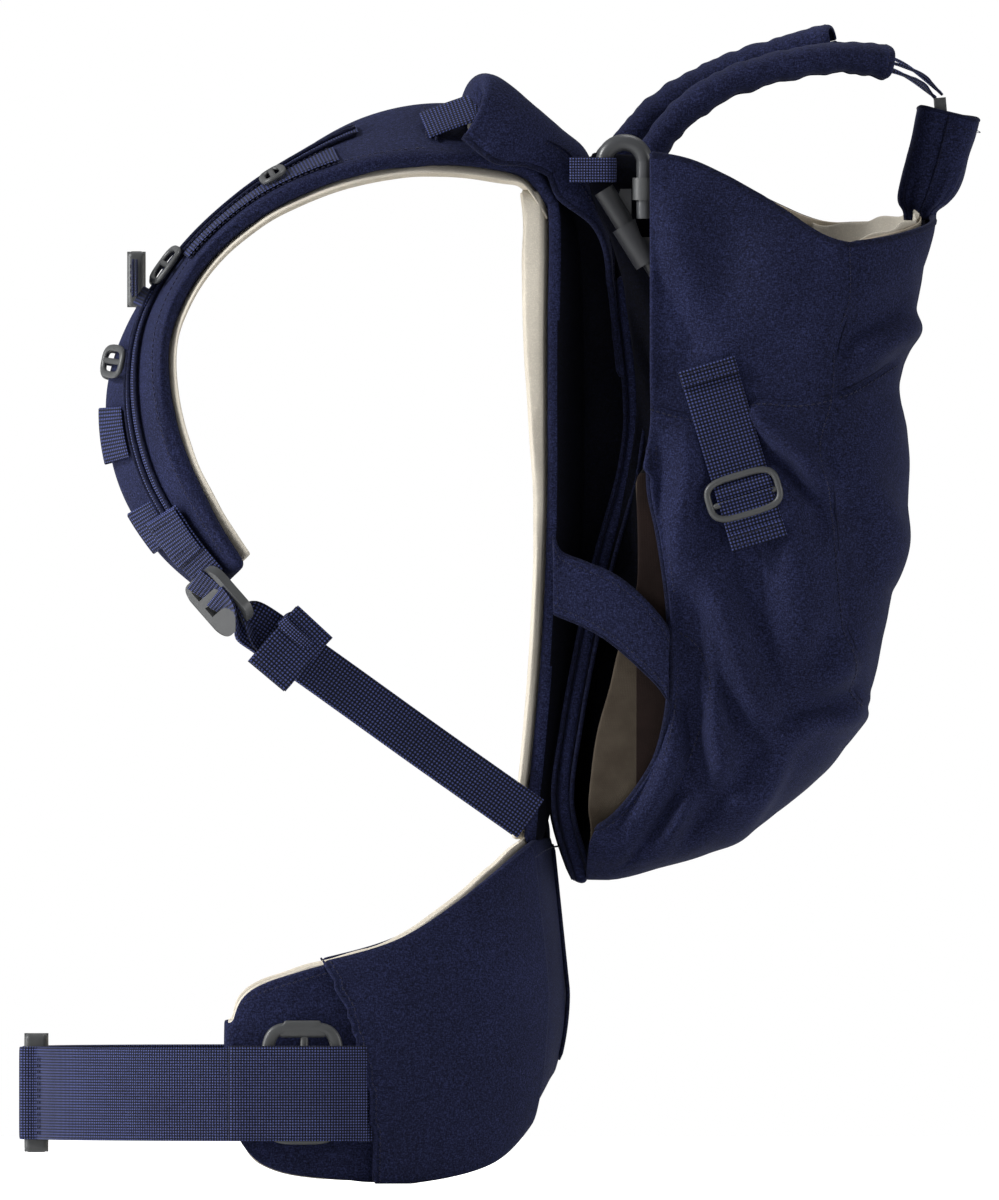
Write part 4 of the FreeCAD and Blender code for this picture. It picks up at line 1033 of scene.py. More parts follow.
def hip_pockets():
    """Cloth pockets over the wings' outer faces."""
    path = belt_path(BELT_STATIONS, 120)
    first = 26
    rows = []
    for k in range(31):
        share = k / 30
        # The pocket's mouth slants: further forward at the top.
        last_x = -100 - 8 * share - 20.5 * share ** 3
        end = min(range(len(path)), key=lambda n: abs(path[n][0] - last_x))
        arch = math.sin(math.pi * share)
        tuck = 0.0030 * (1 - arch ** 0.25)
        row = []
        for j in range(41):
            here = first + (end - first) * j / 40
            n = min(int(here), len(path) - 2)
            flare = 0.0042 * ramp(j / 40, 0.55, 1.0) * arch ** 0.7
            heights = [low - 1.6 + (high - low + 2.2) * share for _, _, low, high, _, _ in path[n:n + 2]]
            ripple = wobble(at(path[n][0], path[n][1], heights[0]), 0.035, 9.0)
            lift = PAD_OUTER + 0.0016 + flare - tuck + 0.0005 * ripple
            a, b = (belt_point(station, z, lift) for station, z in zip(path[n:n + 2], heights))
            row.append(a.lerp(b, here - n))
        rows.append(row)
    outward = Vector((-0.2, -1, 0)).normalized()
    hem = [p + outward * 0.0013 for p in column(rows, -2)]
    for side, sign in SIDES:
        cloth = sheet(f"hip_pocket_{side}", rows, cloth_navy, 0.0018, side=sign, outward=-1)
        place(polish(cloth), "carrier", "navy_fabric", ("hip_pockets",), sign)
        pieces = [cord(f"pocket_edge_{side}", column(rows, -1), 0.0013, cloth_navy, side=sign, sides=8),
                  stitches(f"pocket_stitch_{side}", hem, [outward] * len(hem), thread, side=sign)]
        place(join(pieces, f"hip_pocket_hem_{side}"), "carrier", "navy_fabric")


# The belt webbing from above, from under the pocket's edge round to the buckle.
BELT_WEBBING = (
    (-96, -158.5), (-108, -161.5), (-122, -167.0), (-140, -168.6), (-160, -168.0), (-182, -164.8),
    (-222, -147.4), (-253, -117.6), (-272, -84), (-279.6, -52),
)


def edge_frames(points, centre_z, count):
    """Frames for a webbing on edge along (x, y) points seen from above."""
    dense = even_path([(x, y, centre_z) for x, y in points], count)
    frames = []
    for i, place_ in enumerate(dense):
        run = heading(dense, i, FROM_ABOVE)
        frames.append((at(*place_), Z_AXIS, Vector((-run.y, run.x, 0)), 1.0))
    return frames


def tape_strip(name, frames, half_width, thickness, material, side=1, lift=0.0):
    """A flat webbing along frames, with square ends."""
    return rounded_strip(name, frames, half_width, lift, lift + thickness, material, side=side, end_round=False,
                         points=26, power=0.3)


def belt_tapes():
    centre_z, half = 50, 0.025
    socket_end = ((-281.2, -48.0), (-284.5, -47.0), (-288.6, -45.5), (-289.8, -42), (-288.5, -39.6))
    plug_end = ((-281.2, -46), (-281.8, -34), (-282.4, -25), (-285.6, -21.6), (-288.2, -18), (-287.4, -13.4))
    for side, sign in SIDES:
        ending = socket_end if sign > 0 else plug_end
        frames = edge_frames(BELT_WEBBING + ending, centre_z, 130)
        pieces = [tape_strip(f"belt_webbing_{side}", frames, half, 0.0017, tape_fine, sign)]
        # The spare end comes back over the adjuster and tucks into the pocket.
        back = ((-176, -166.4), (-178.6, -168.2), (-177, -171.0), (-160, -172.4), (-140, -172.9),
                (-122, -171.4), (-110, -167.6), (-104, -164.8))
        doubled = edge_frames(back, centre_z + 0.6, 60)
        pieces.append(tape_strip(f"belt_webbing_back_{side}", doubled, half + 0.0006, 0.0017, tape_fine, sign))
        tail = ((-107.4, -165.4), (-103.5, -163.4), (-99, -160.4))
        tail_frames = edge_frames(tail, centre_z - 4, 12)
        pieces.append(tape_strip(f"belt_webbing_tail_{side}", tail_frames, 0.0215, 0.0016, tape_fine, sign,
                                 lift=0.0022))
        if sign > 0:
            inner = ((-280.0, -58), (-280.6, -50), (-277.6, -47), (-275.2, -44), (-275.0, -40))
            pieces.append(tape_strip("belt_webbing_return", edge_frames(inner, centre_z, 24), half, 0.0015,
                                     tape_fine, lift=-0.0024))
        for k, share in enumerate((0.905, 0.93) if sign > 0 else (0.86,)):
            centre, across, out, _ = frames[int(share * (len(frames) - 1))]
            line = [centre + across * (half * 1.8 * (i / 20 - 0.5)) + out * 0.0018 for i in range(21)]
            pieces.append(stitches(f"belt_bar_tack_{side}_{k}", line, [out] * 21, thread, side=sign))
        whole = join(pieces, f"belt_webbing_{side}")
        if sign > 0:
            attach(whole, "carrier")
            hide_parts("belt_webbings", "belt_webbing_socket_loop")
        else:
            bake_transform(whole)
            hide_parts("belt_webbing_plug_loop")


# ------------------------------------------------------------------ strap webbing
def turning_frames(points, first, last, turn_by, count):
    """Frames along points whose across direction turns from first to last over a share of the length."""
    dense = even_path(points, count)
    frames = []
    for i, place_ in enumerate(dense):
        run = heading(dense, i)
        share = ramp(i / (count - 1), 0.0, turn_by)
        across = (first * (1 - share) + last * share)
        across = (across - run * across.dot(run)).normalized()
        frames.append((at(*place_), across, run.cross(across).normalized(), 1.0))
    return frames


def lower_tapes():
    """The webbings from the straps' ladder locks down to the back panel."""
    # At the lock they lie as the strap's end does, and they turn upright on the way down.
    across, _ = tilted(heading(STRAP_STATIONS, len(STRAP_STATIONS) - 1, FROM_SIDE), STRAP_STATIONS[-1][4])
    upright = Vector((0.58, 0, 0.81))
    spare_across = Vector((0.75, 0, -0.66))
    band_across = Vector((-0.66, 0, -0.75))
    for side, sign in SIDES:
        line = ((-197, -139.6, 327), (-190, -139.5, 322), (-181, -139.4, 315), (-166, -137.2, 304),
                (-130, -130, 279), (-70, -116.6, 236), (-16, -104.4, 198))
        frames = turning_frames(line, -across, upright, 0.34, 80)
        over = ((-186, -142.6, 318), (-178, -142.6, 311), (-160, -139.2, 299.5), (-140, -134.6, 285.5))
        second = turning_frames(over, -across, upright, 0.6, 30)
        pieces = [tape_strip(f"lower_webbing_{side}_a", frames, 0.0125, 0.0017, tape_coarse, sign, -0.0008),
                  tape_strip(f"lower_webbing_{side}_b", second, 0.0125, 0.0016, tape_coarse, sign, -0.0008)]
        # The spare end, folded over itself three times and held by a narrow loop.
        for k, (depth, reach) in enumerate(((0.0, 37), (2.0, 39), (4.0, 36))):
            start = (-132, -142 - depth, 304)
            end = (-132 - 0.66 * reach, -147.0 - depth, 304 - 0.75 * reach)
            middle = ((start[0] + end[0]) / 2, -145.2 - depth, (start[2] + end[2]) / 2 + 0.6)
            fold = turning_frames((start, middle, end), spare_across, spare_across, 1.0, 14)
            pieces.append(tape_strip(f"spare_end_{side}_{k}", fold, 0.0128, 0.0016, tape_coarse, sign, -0.0008))
        band_line = ((-146, -139.0, 307), (-149, -149.6, 303.5), (-136, -149.0, 291.5), (-133, -139.0, 289))
        band = turning_frames(band_line, band_across, band_across, 1.0, 24)
        pieces.append(tape_strip(f"spare_loop_{side}", band, 0.0034, 0.0012, tape_fine, sign, lift=-0.0006))
        place(join(pieces, f"lower_webbing_{side}"), "carrier", "navy_webbing", ("lower_webbings",), sign)


def chest_tapes():
    """The chest strap's two webbings with their folded ends."""
    x, z = -228, 489
    for name, body, ys, outer_y in (
        ("left", "chest_strap", (-116, -100, -80, -60, -46, -38, -34.8), -106),
        ("right", "chest_plug", (20.8, 30, 48, 66, 84, 100, 116), 106),
    ):
        frames = [(at(x, y, z), Z_AXIS, -X_AXIS, 1.0) for y in ys]
        tape = tape_strip(f"chest_webbing_{name}", frames, 0.0100, 0.0016, tape_fine, lift=-0.0008)
        outer = frames[:3] if outer_y < 0 else frames[-3:]
        fold = [(centre - X_AXIS * 0.0019, across, out, 1.0) for centre, across, out, _ in outer]
        folded = tape_strip(f"chest_fold_{name}", fold, 0.0102, 0.0016, tape_fine, lift=-0.0008)
        line = [at(x - 3.0, outer_y, z - 8 + 16 * i / 12) for i in range(13)]
        row = stitches(f"chest_tack_{name}", line, [-X_AXIS] * 13, thread)
        place(join([tape, folded, row], f"chest_webbing_{name}_tape"), body, "navy_webbing",
              (f"chest_webbing_{name}",))


# ------------------------------------------------------------------ the child's pouch
# The pouch from above at each height: (z, front x, rear x, half width).
POUCH_LEVELS = (
    (165.6, 15, 24, 56), (168, 14.5, 36, 64), (178, 15, 74, 83), (197, 17, 111, 98), (220, 19, 138, 107),
    (237, 19, 152.5, 110.5), (251, 20, 159.5, 112.5), (262, 22, 164.5, 114), (292, 26.5, 172.5, 116),
    (320, 32, 178, 117.5), (348, 38, 183.5, 119), (381, 43, 188.5, 119.6), (409, 48, 187.5, 120),
    (434, 48, 183.5, 119.8), (459, 48, 190, 119.2), (493, 48, 196.5, 116.5), (515, 48, 201.5, 114),
    (562, 48, 206, 110),
)
# The top edge of the left and the right side, from the side: (x, z).
LEFT_RIM = (
    (40, 556), (50, 555), (70, 551), (90, 542), (108, 532), (122, 523), (136, 513.5), (148, 508),
    (158, 506.3),
)
RIGHT_RIM = (
    (40, 556), (50, 555), (70, 551), (90, 544), (108, 535), (122, 528), (136, 522), (148, 519), (158, 519),
)
# The front edge beside the leg opening, of the shell and of the facing inside it: (z, x).
SHELL_LEG = (
    (192, 19), (198, 28), (208, 37.5), (220, 46), (232, 52.3), (250, 57), (270, 59.3), (295, 59.3), (318, 58),
    (350, 53.4), (372, 48.8), (385, 48),
)
FACING_LEG = (
    (192, 18), (198, 15), (222, 16.5), (246, 20), (270, 26.7), (285, 30), (305, 36), (322, 41), (350, 41.5),
    (378, 40.5), (385, 40),
)


LEVEL_TABLES = [tuple((row[0], row[k]) for row in POUCH_LEVELS) for k in (1, 2, 3)]
LEG_FOOT, LEG_TOP = 192, 385
SHELL_INSET = 0.8
# The side ends and the rear begins at these shares of the way from the front edge to the rear's middle.
SIDE_END, REAR_START = 0.62, 0.84


def pouch_level(z):
    """The front x, rear x and half width of the pouch at a height, and the radius of its rear corners."""
    front, rear, half = (follow(table, z) for table in LEVEL_TABLES)
    return front, rear, half, min(0.46 * (rear - front), 56)


def pouch_place(z, share, side, leg, inset=0.0):
    """A point on the pouch. Share runs from 0 at the side's front edge to 1 at the middle of the rear."""
    front, rear, half, corner = pouch_level(z)
    rear, half = rear - inset, half - inset
    start = follow(leg, z) if LEG_FOOT <= z < LEG_TOP else front + 2 * (inset > 2)
    if z < LEG_FOOT:
        start = front + (follow(leg, LEG_FOOT) - 17) * ramp(z, 184, LEG_FOOT)
    start = min(start, rear - corner - 1)
    if share < SIDE_END:
        x = start + (rear - corner - start) * share / SIDE_END
        return x, -half * side, (0.0, -side)
    if share < REAR_START:
        angle = math.pi / 2 * (share - SIDE_END) / (REAR_START - SIDE_END)
        x = rear - corner + corner * math.sin(angle)
        y = -half + corner - corner * math.cos(angle)
        return x, y * side, (math.sin(angle), -math.cos(angle) * side)
    y = (-half + corner) * (1 - (share - REAR_START) / (1 - REAR_START))
    return rear, y * side, (1.0, 0.0)


def nearest(line, x, z):
    """Millimetres from (x, z) to a side-view line, the side it lies on and how far along it is."""
    best = None
    for k in range(len(line) - 1):
        (xa, za), (xb, zb) = line[k], line[k + 1]
        dx, dz = xb - xa, zb - za
        t = min(max(((x - xa) * dx + (z - za) * dz) / (dx * dx + dz * dz), 0.0), 1.0)
        gap_x, gap_z = x - xa - dx * t, z - za - dz * t
        away = math.hypot(gap_x, gap_z)
        if best is None or away < best[0]:
            best = (away, math.copysign(1, gap_x * dz - gap_z * dx), (k + t) / (len(line) - 1))
    return best


def fine(line, count=26):
    """A side-view line through the given points, resampled smoothly."""
    return [(x, z) for x, _, z in even_path([(x, 0, z) for x, z in line], count)]


# Seams and folds of the pouch's side, from the side: (x, z).
REAR_SEAM = fine((
    (158.4, 506), (158.2, 478), (150.8, 452), (148.7, 424), (142, 396), (147.5, 368), (151, 340), (153, 305),
    (158, 275), (161.5, 258),
))
YOKE_SEAM = fine((
    (49, 421), (71, 415.5), (88, 418), (105.6, 424), (129, 423), (150.8, 428), (168, 437), (180, 444.5),
))
LEG_HEM = fine((
    (55, 352), (57, 318), (60, 302), (73, 292), (79.7, 277), (80.2, 266), (75.4, 247), (64.6, 219), (52, 196),
    (38.8, 178),
))
# A fold's line, its width, its height, and how one-sided it is.
FOLDS = [
    (fine(line), width, height, slant) for line, width, height, slant in (
        (((71, 337), (90.5, 309), (101, 277), (116, 247), (122, 232)), 11, 3.2, 0.5),
        (((86, 312), (83, 300), (83, 284), (86, 245), (95, 200)), 8.5, 3.6, 0.6),
        (((122, 245), (108, 219), (93, 197), (80, 181)), 7.5, 3.0, -0.6),
        (((103, 422), (112, 409), (129, 396), (138, 385), (148, 370), (151, 345)), 7.0, 3.2, 0.6),
        (((112, 405), (118, 380), (126, 340), (131, 300), (138, 262)), 15, 3.0, 0.2),
        (((150, 392), (164, 380), (178, 352), (180, 322)), 12, 3.0, 0.4),
        (((62, 412), (66, 385), (62, 350), (68, 322)), 9, 2.2, -0.5),
        (((64, 540), (72, 500), (88, 462), (96, 440)), 18, 2.6, 0.4),
        (((118, 520), (112, 490), (118, 460)), 20, 1.8, 0.0),
        (((196, 470), (183, 462), (166, 452), (158, 440)), 8, 3.2, -0.5),
        (((168, 262), (152, 250), (134, 247), (122, 236)), 8, 3.0, 0.5),
        (((160, 300), (150, 276), (136, 262)), 10, 2.4, 0.3),
        (((62, 262), (60, 235), (48, 205), (34, 186)), 6, 1.4, 0.0),
        (((75, 214), (62, 192), (52, 178)), 5, 1.7, 0.5),
        (((100, 214), (84, 196), (70, 180)), 5.5, 2.0, 0.5),
    )
]


def pouch_relief(x, z, y):
    """How far the cloth stands off the plain form, in millimetres."""
    lift = 2.6 * wobble(Vector((x, y * 0.7, z)) * 0.001, 0.055, 4.0)
    lift += 0.9 * wobble(Vector((x, y, z)) * 0.001, 0.022, 8.0)
    for line, width, height, slant in FOLDS:
        away, turn, along = nearest(line, x, z)
        if away > 4 * width:
            continue
        ends = math.sin(math.pi * min(max(along, 0.0), 1.0)) ** 0.7 if 0 < along < 1 else 0.0
        signed = away * turn / width
        lift += 2.6 * height * ends * math.exp(-signed * signed) * (1 + slant * math.tanh(1.6 * signed))
        lift -= 2.5 * height * ends * math.exp(-((signed - 1.5) ** 2) / 0.7)
    for line, depth, width in ((REAR_SEAM, 1.9, 2.6), (YOKE_SEAM, 1.7, 2.4), (LEG_HEM, 2.8, 2.8)):
        away = nearest(line, x, z)[0]
        if away < 14:
            lift -= depth * math.exp(-(away / width) ** 2)
            lift += 0.6 * math.exp(-((away - 2.6 * width) / (1.6 * width)) ** 2)
    return max(lift, -3.8)


def rim_height(share, side, x):
    """The top edge at a place round the pouch."""
    edge = follow(LEFT_RIM if side > 0 else RIGHT_RIM, x)
    if share < SIDE_END or x <= 158:
        return edge
    t = ramp((share - SIDE_END) / (1 - SIDE_END), 0, 0.75)
    return edge * (1 - t) + 521.5 * t


def rim_place(share, side, inset, z, passes):
    """x, y, z and normal at the shell's top edge, found in a few passes from a first guess of z."""
    for _ in range(passes):
        z = rim_height(share, side, pouch_place(z, share, side, SHELL_LEG, inset)[0])
    x, y, normal = pouch_place(z, share, side, SHELL_LEG, inset)
    return x, y, z, normal


def pouch_rows(leg, inset, relief=False, raise_rim=0.0, rows=140, columns=78, bottom=165.6):
    """Rows of points from the bottom up, each from the left front edge round the rear to the right one."""
    found = []
    for i in range(rows + 1):
        t = i / rows
        row = []
        for side in (1, -1):
            part = []
            for k in range(columns + 1):
                share = k / columns
                # The row's height follows the top edge; three passes settle x against z.
                z = bottom + t * (530 - bottom)
                for _ in range(3):
                    x = pouch_place(z, share, side, leg, inset)[0]
                    z = bottom + t * (rim_height(share, side, x) + raise_rim * ramp(x, 60, 120) - bottom)
                x, y, normal = pouch_place(z, share, side, leg, inset)
                lift = 0.0
                if relief:
                    lift = pouch_relief(x, z, y) * (0.35 + 0.65 * ramp(share, 0.0, 0.05))
                # The floor's points move down as well as out.
                down = 0.35 * (1 - ramp(z, 170, 215)) * abs(lift)
                part.append(at(x + normal[0] * lift, y + normal[1] * lift, z - down))
            row += part if side > 0 else part[-2::-1]
        found.append(row)
    return found


def shaded_lining_cloth():
    """The lining's cloth: beige darkened by painted shade, with painted brown shadow beside the leg opening,
    near-black painted shade above it, and the lining's own cream deeper in above.
    """
    n = Nodes("cloth_lining_shaded")
    x, y, z = n.axes("Object")
    weave = 0.0009
    threads = n.math("MULTIPLY", n.wave(n.math("ADD", x, y), weave), n.wave(z, weave))
    crease = n.noise(40, 3.0, 0.6)
    # The beige is the lining's cream darkened by painted shade; the brown further back is painted shadow.
    beige = n.ramp(crease, ((0.3, (0.046, 0.035, 0.025)), (0.7, (0.084, 0.068, 0.051))))
    brown = n.ramp(crease, ((0.3, (0.012, 0.0065, 0.0055)), (0.7, (0.020, 0.011, 0.0093))))
    painted_shade_corner = at(41, 0, 384)
    beyond = n.math("GREATER_THAN", x, painted_shade_corner.x)
    above = n.math("GREATER_THAN", z, painted_shade_corner.z)
    colour = n.mix(beyond, beige, brown)
    # Painted shade: near-black above the leg opening, where the pouch's front lies in shadow.
    colour = n.mix(above, colour, (0.0014, 0.0015, 0.003))
    deep = n.math("MULTIPLY", above, n.math("GREATER_THAN", x, at(60, 0, 0).x))
    colour = n.mix(deep, colour, n.ramp(crease, ((0.3, (0.44, 0.37, 0.28)), (0.7, (0.60, 0.53, 0.42)))))
    grain = n.ramp(threads, ((0.0, (0.7, 0.7, 0.7)), (1.0, (1.15, 1.15, 1.15))))
    colour = n.mix(0.35, colour, grain, "MULTIPLY")
    folds = n.bump(crease, 0.4, 0.0012)
    return n.finish(colour, 0.85, n.bump(threads, 0.4, 0.0002, folds), 0.03, specular=0.15)


def pouch():
    """The outer shell and its lining."""
    rows = pouch_rows(SHELL_LEG, SHELL_INSET, relief=True)
    shell = sheet("pouch_shell_cloth", rows, cloth_navy, 0.0026, outward=-1)
    place(polish(shell), "seat", "navy_fabric", ("pouch_shell",))
    inner = pouch_rows(FACING_LEG, 7.4, raise_rim=2.0, rows=60, columns=46, bottom=169)
    lining = sheet("pouch_lining_cloth", inner, shaded_lining_cloth(), 0.0014, outward=-1)
    place(polish(lining), "seat", "beige_lining", ("pouch_lining",))


def surface_line(line, side, lift):
    """A side-view line laid on the pouch's side, with the surface's normals."""
    path, normals = [], []
    for x, z in line:
        _, rear, half, corner = pouch_level(z)
        half -= SHELL_INSET
        straight = rear - SHELL_INSET - corner
        if x <= straight:
            y, normal = -half, (0.0, -1.0)
        else:
            angle = math.asin(min((x - straight) / corner, 1.0))
            y = -half + corner - corner * math.cos(angle)
            normal = (math.sin(angle), -math.cos(angle))
        out = pouch_relief(x, z, y * side) + lift
        normal = Vector((normal[0], normal[1], 0))
        path.append(flip(at(x, y, z) + normal * (out * 0.001), side))
        normals.append(flip(normal, side))
    return path, normals


def shifted(line, step):
    """A side-view line moved sideways by a step."""
    found = []
    for k, (x, z) in enumerate(line):
        run = heading(line, k)
        found.append((x + run.y * step, z - run.x * step))
    return found


STITCH_LIFT = 1.42


def pouch_seams():
    """Seam cords, stitches and the leg openings' binding on the pouch's sides."""
    opening = fine([(x, z) for z, x in SHELL_LEG] + [(48, 400)], 80)
    for side, sign in SIDES:
        pieces = []
        for n, (line, step) in enumerate(((REAR_SEAM, 3.0), (YOKE_SEAM, 3.0), (LEG_HEM, 0.0))):
            if step:
                path, _ = surface_line(fine(line, 70), sign, 1.3)
                pieces.append(cord(f"pouch_seam_{side}_{n}", path, 0.00075, cloth_piping, sides=6))
            path, normals = surface_line(shifted(fine(line, 110), step), sign, STITCH_LIFT)
            pieces.append(stitches(f"pouch_stitch_{side}_{n}", path, normals, thread))
        path, normals = surface_line([(x + 3.4, z) for x, z in opening], sign, STITCH_LIFT)
        pieces.append(stitches(f"leg_stitch_{side}", path, normals, thread))
        binding, _ = surface_line([(x - 0.2, z) for x, z in opening], sign, 0.3)
        pieces.append(cord(f"leg_binding_{side}", binding, 0.0019, cloth_piping, sides=10))
        place(join(pieces, f"pouch_seams_{side}"), "seat", "navy_fabric")


def rims():
    """The rolled edges at the top of the shell and the pleated lining behind the rear edge."""
    path = []
    for side in (1, -1):
        part = []
        for k in range(111):
            x, y, z, normal = rim_place(k / 110, side, SHELL_INSET, 520, 4)
            lift = pouch_relief(x, z, y)
            part.append(at(x + normal[0] * lift, y + normal[1] * lift, z + 0.2))
        path += part if side > 0 else part[-2::-1]
    place(cord("pouch_rim", path, 0.0019, cloth_piping), "seat", "navy_fabric")
    # Gathered folds in the lining along the rear edge.
    reach = 1 - SIDE_END
    rows = []
    for i in range(15):
        t = i / 14
        row = []
        for j in range(161):
            share = SIDE_END + 2 * reach * j / 160
            side, local = (1, share) if share <= 1 else (-1, 2 - share)
            x, y, z, normal = rim_place(local, side, 8.2, 515, 3)
            centre = abs(share - 1) / reach
            wave = math.sin(math.pi * 11 * share / reach + 1.1 * math.sin(9 * share))
            depth = 1.1 * wave * (1 - ramp(centre, 0.75, 1.0)) * (0.6 + 0.4 * t)
            height = z - 26 + t * (26 + 4.4 * (1 - ramp(centre, 0.6, 1.0)) + 0.8 * wave)
            inward = 1.2 + depth + 1.0 * math.sin(math.pi * t)
            row.append(at(x - normal[0] * inward, y - normal[1] * inward, height))
        rows.append(row)
    gathered = sheet("pouch_rear_gathers", rows, cloth_cream, 0.0013, outward=-1)
    place(polish(gathered), "seat", "cream_lining")


# ------------------------------------------------------------------ bands, webbings and the child harness
# The band's upper and lower edges from the side: (x, z).
BAND_TOP = ((-4, 350), (0, 341), (13, 335.4), (28, 328.9), (41, 319.2), (53.9, 305.2), (58.4, 297))
BAND_FOOT = ((-4, 309), (0, 307.4), (13, 302), (26, 294.4), (40, 282.5), (52.8, 270), (58.2, 262))


# How far out the band lies along its length: (x, y).
BAND_SIDE = ((-4, -112.6), (14, -115.6), (34, -118.2), (50, -118.4), (59, -116.8))


def leg_bands():
    """Hemmed cloth bands across the leg openings, from the back panel to the pouch."""
    rows = []
    for (xa, za), (xb, zb) in zip(fine(BAND_FOOT, 46), fine(BAND_TOP, 46)):
        row = []
        for j in range(23):
            share = j / 22
            x, z = xa + (xb - xa) * share, za + (zb - za) * share
            y = follow(BAND_SIDE, x)
            crown = 0.0026 * (1 - abs(2 * share - 1) ** 2.4)
            wave = 0.0006 * wobble(at(x, y, z), 0.02, 11.0)
            row.append(at(x, y, z) - Y_AXIS * (crown + wave))
        rows.append(row)
    top = [p + Z_AXIS * 0.0003 for p in column(rows, -1)]
    foot = [p - Z_AXIS * 0.0003 for p in column(rows, 0)]
    tack = [at(-1.5, -116.2, 312 + 28 * k / 12) for k in range(13)]
    for side, sign in SIDES:
        pieces = [sheet(f"leg_band_{side}_cloth", rows, cloth_navy, 0.0022, side=sign)]
        for n, (path, other) in enumerate(((top, foot), (foot, top))):
            pieces.append(cord(f"leg_band_hem_{side}_{n}", path, 0.0012, cloth_piping, side=sign, sides=8))
            line = [p.lerp(q, 0.11) - Y_AXIS * 0.0030 for p, q in zip(path, other)]
            pieces.append(stitches(f"leg_band_stitch_{side}_{n}", line, [-Y_AXIS] * 46, thread, side=sign))
        # The hemmed end sewn to the back panel.
        pieces.append(stitches(f"leg_band_tack_{side}", tack, [-Y_AXIS] * 13, thread, side=sign))
        whole = polish(join(pieces, f"leg_band_{side}"))
        bridge(whole, "leg_bands", sign)


# The side webbing's two ends, from the side: (x, z).
SIDE_WEBBING = ((78.5, 442.0), (107.0, 346.6))
(xa, za), (xb, zb) = SIDE_WEBBING
SIDE_ALONG = Vector((xb - xa, 0, zb - za)).normalized()
SIDE_ACROSS = Vector((-SIDE_ALONG.z, 0, SIDE_ALONG.x))


def side_frames(first, last, lift, count=40):
    """Frames down the side webbing between two shares of its length."""
    frames = []
    for i in range(count):
        share = first + (last - first) * i / (count - 1)
        raised = lift(share) if callable(lift) else lift
        x, z = xa + (xb - xa) * share, za + (zb - za) * share
        frames.append((at(x, -122.0 - raised, z), SIDE_ACROSS, -Y_AXIS, 1.0))
    return frames


def side_webbings():
    """The webbings down the pouch's sides, threaded through the sliders and folded at their ends."""
    half = 0.0155

    def under(share):
        return 3.3 * bump(share, 0.70, 0.055) + 0.2

    def over(share):
        return 2.2 + 2.4 * bump(share, 0.70, 0.06)

    for side, sign in SIDES:
        pieces = []
        for n, (first, last, lift, count, wider, thickness) in enumerate((
            (0.0, 0.985, under, 70, 0.0, 0.0018), (-0.006, 0.085, 2.1, 12, 0.0003, 0.0018),
            (0.735, 1.0, over, 30, -0.0002, 0.0018), (0.915, 1.006, 4.1, 12, 0.0, 0.0017),
        )):
            pieces.append(tape_strip(f"side_webbing_{side}_{n}", side_frames(first, last, lift, count),
                                     half + wider, thickness, tape_coarse, sign))
        for n, (share, lift) in enumerate(((0.018, 4.05), (0.068, 4.05), (0.935, 5.9), (0.985, 5.9))):
            centre, across, out, _ = side_frames(share, share + 0.001, lift, 2)[0]
            line = [centre + across * (0.0275 * (k / 16 - 0.5)) for k in range(17)]
            pieces.append(stitches(f"side_webbing_tack_{side}_{n}", line, [out] * 17, thread, side=sign))
        place(join(pieces, f"side_webbing_{side}"), "seat", "navy_webbing", ("side_webbings",), sign)


def hanger_webbings():
    """Webbings from the back panel round the frame hooks and back."""
    middle, reach = -98, 6.2
    line = [(5, middle - 5.9), (10, middle - 6.0), (16, middle - reach)]
    for degrees in (-75, -45, -15, 15, 45, 75):
        turn = math.radians(degrees)
        line.append((23.5 + reach * math.cos(turn), middle + reach * math.sin(turn)))
    line += [(16, middle + reach), (10, middle + 6.0), (5, middle + 5.9)]
    frames = edge_frames(line, 547.2, 70)
    for side, sign in SIDES:
        whole = tape_strip(f"hanger_webbing_{side}", frames, 0.0066, 0.0016, tape_fine, sign, lift=-0.0008)
        bridge(whole, "hanger_webbings", sign)


# The gussets' front and rear edges from the side: (z, x).
GUSSET_FRONT = ((205, -5.5), (240, 0), (300, 7), (370, 11), (460, 11), (500, 9), (536, 4))
GUSSET_REAR = (
    (205, 5), (250, 5.8), (296, 11.8), (338, 19.8), (386, 32.6), (424, 36.6), (487, 33), (515, 29), (536, 21),
)


def inner_gussets():
    """Cloth that closes the gap between the back panel and the seat's front panel on each side, near-black with
    painted shade where the gap lies in shadow.
    """
    rows = []
    for i in range(48):
        z = 212 + 324 * i / 47
        front, rear = follow(GUSSET_FRONT, z), follow(GUSSET_REAR, z)
        row = []
        for j in range(13):
            t = j / 12
            fold = 1.6 * math.sin(3.0 * z / 26) * math.sin(math.pi * t)
            row.append(at(front + (rear - front) * t, -67.2 + fold, z))
        rows.append(row)
    for side, sign in SIDES:
        whole = polish(sheet(f"inner_gusset_{side}", rows, cloth_shadow, 0.0012, side=sign))
        bridge(whole, "inner_gussets", sign)


# The child's shoulder pads: (x, y, z, share of the full thickness).
LEFT_PAD = (
    (45, -64, 549, 0.85), (54, -64, 564, 0.95), (66, -63.5, 578.5, 1.0), (80, -62, 588.5, 1.0),
    (103, -59, 599, 1.0), (130, -55, 606, 0.98), (157, -50, 608.4, 1.05), (178, -46, 605.4, 1.12),
)
RIGHT_PAD = (
    (30, 64, 554, 0.8), (40, 64, 568, 0.9), (51, 64, 579, 0.95), (66, 62, 590, 1.0), (86, 60, 600.5, 1.0),
    (106, 57, 608, 1.0), (130, 53, 614.6, 1.05), (149, 50, 618.6, 1.12),
)


def upward_frame(path, i):
    """The across and out directions, at a path's entry i, of a strap that faces up."""
    run = heading(path, i)
    out = run.cross(Y_AXIS).normalized()
    out = out if out.z > 0 else -out
    return out.cross(run).normalized(), out


def spokes(ring):
    """The directions from a closed ring's middle to its points; its last point repeats its first."""
    middle = sum(ring[:-1], Vector()) / (len(ring) - 1)
    return [(p - middle).normalized() for p in ring]


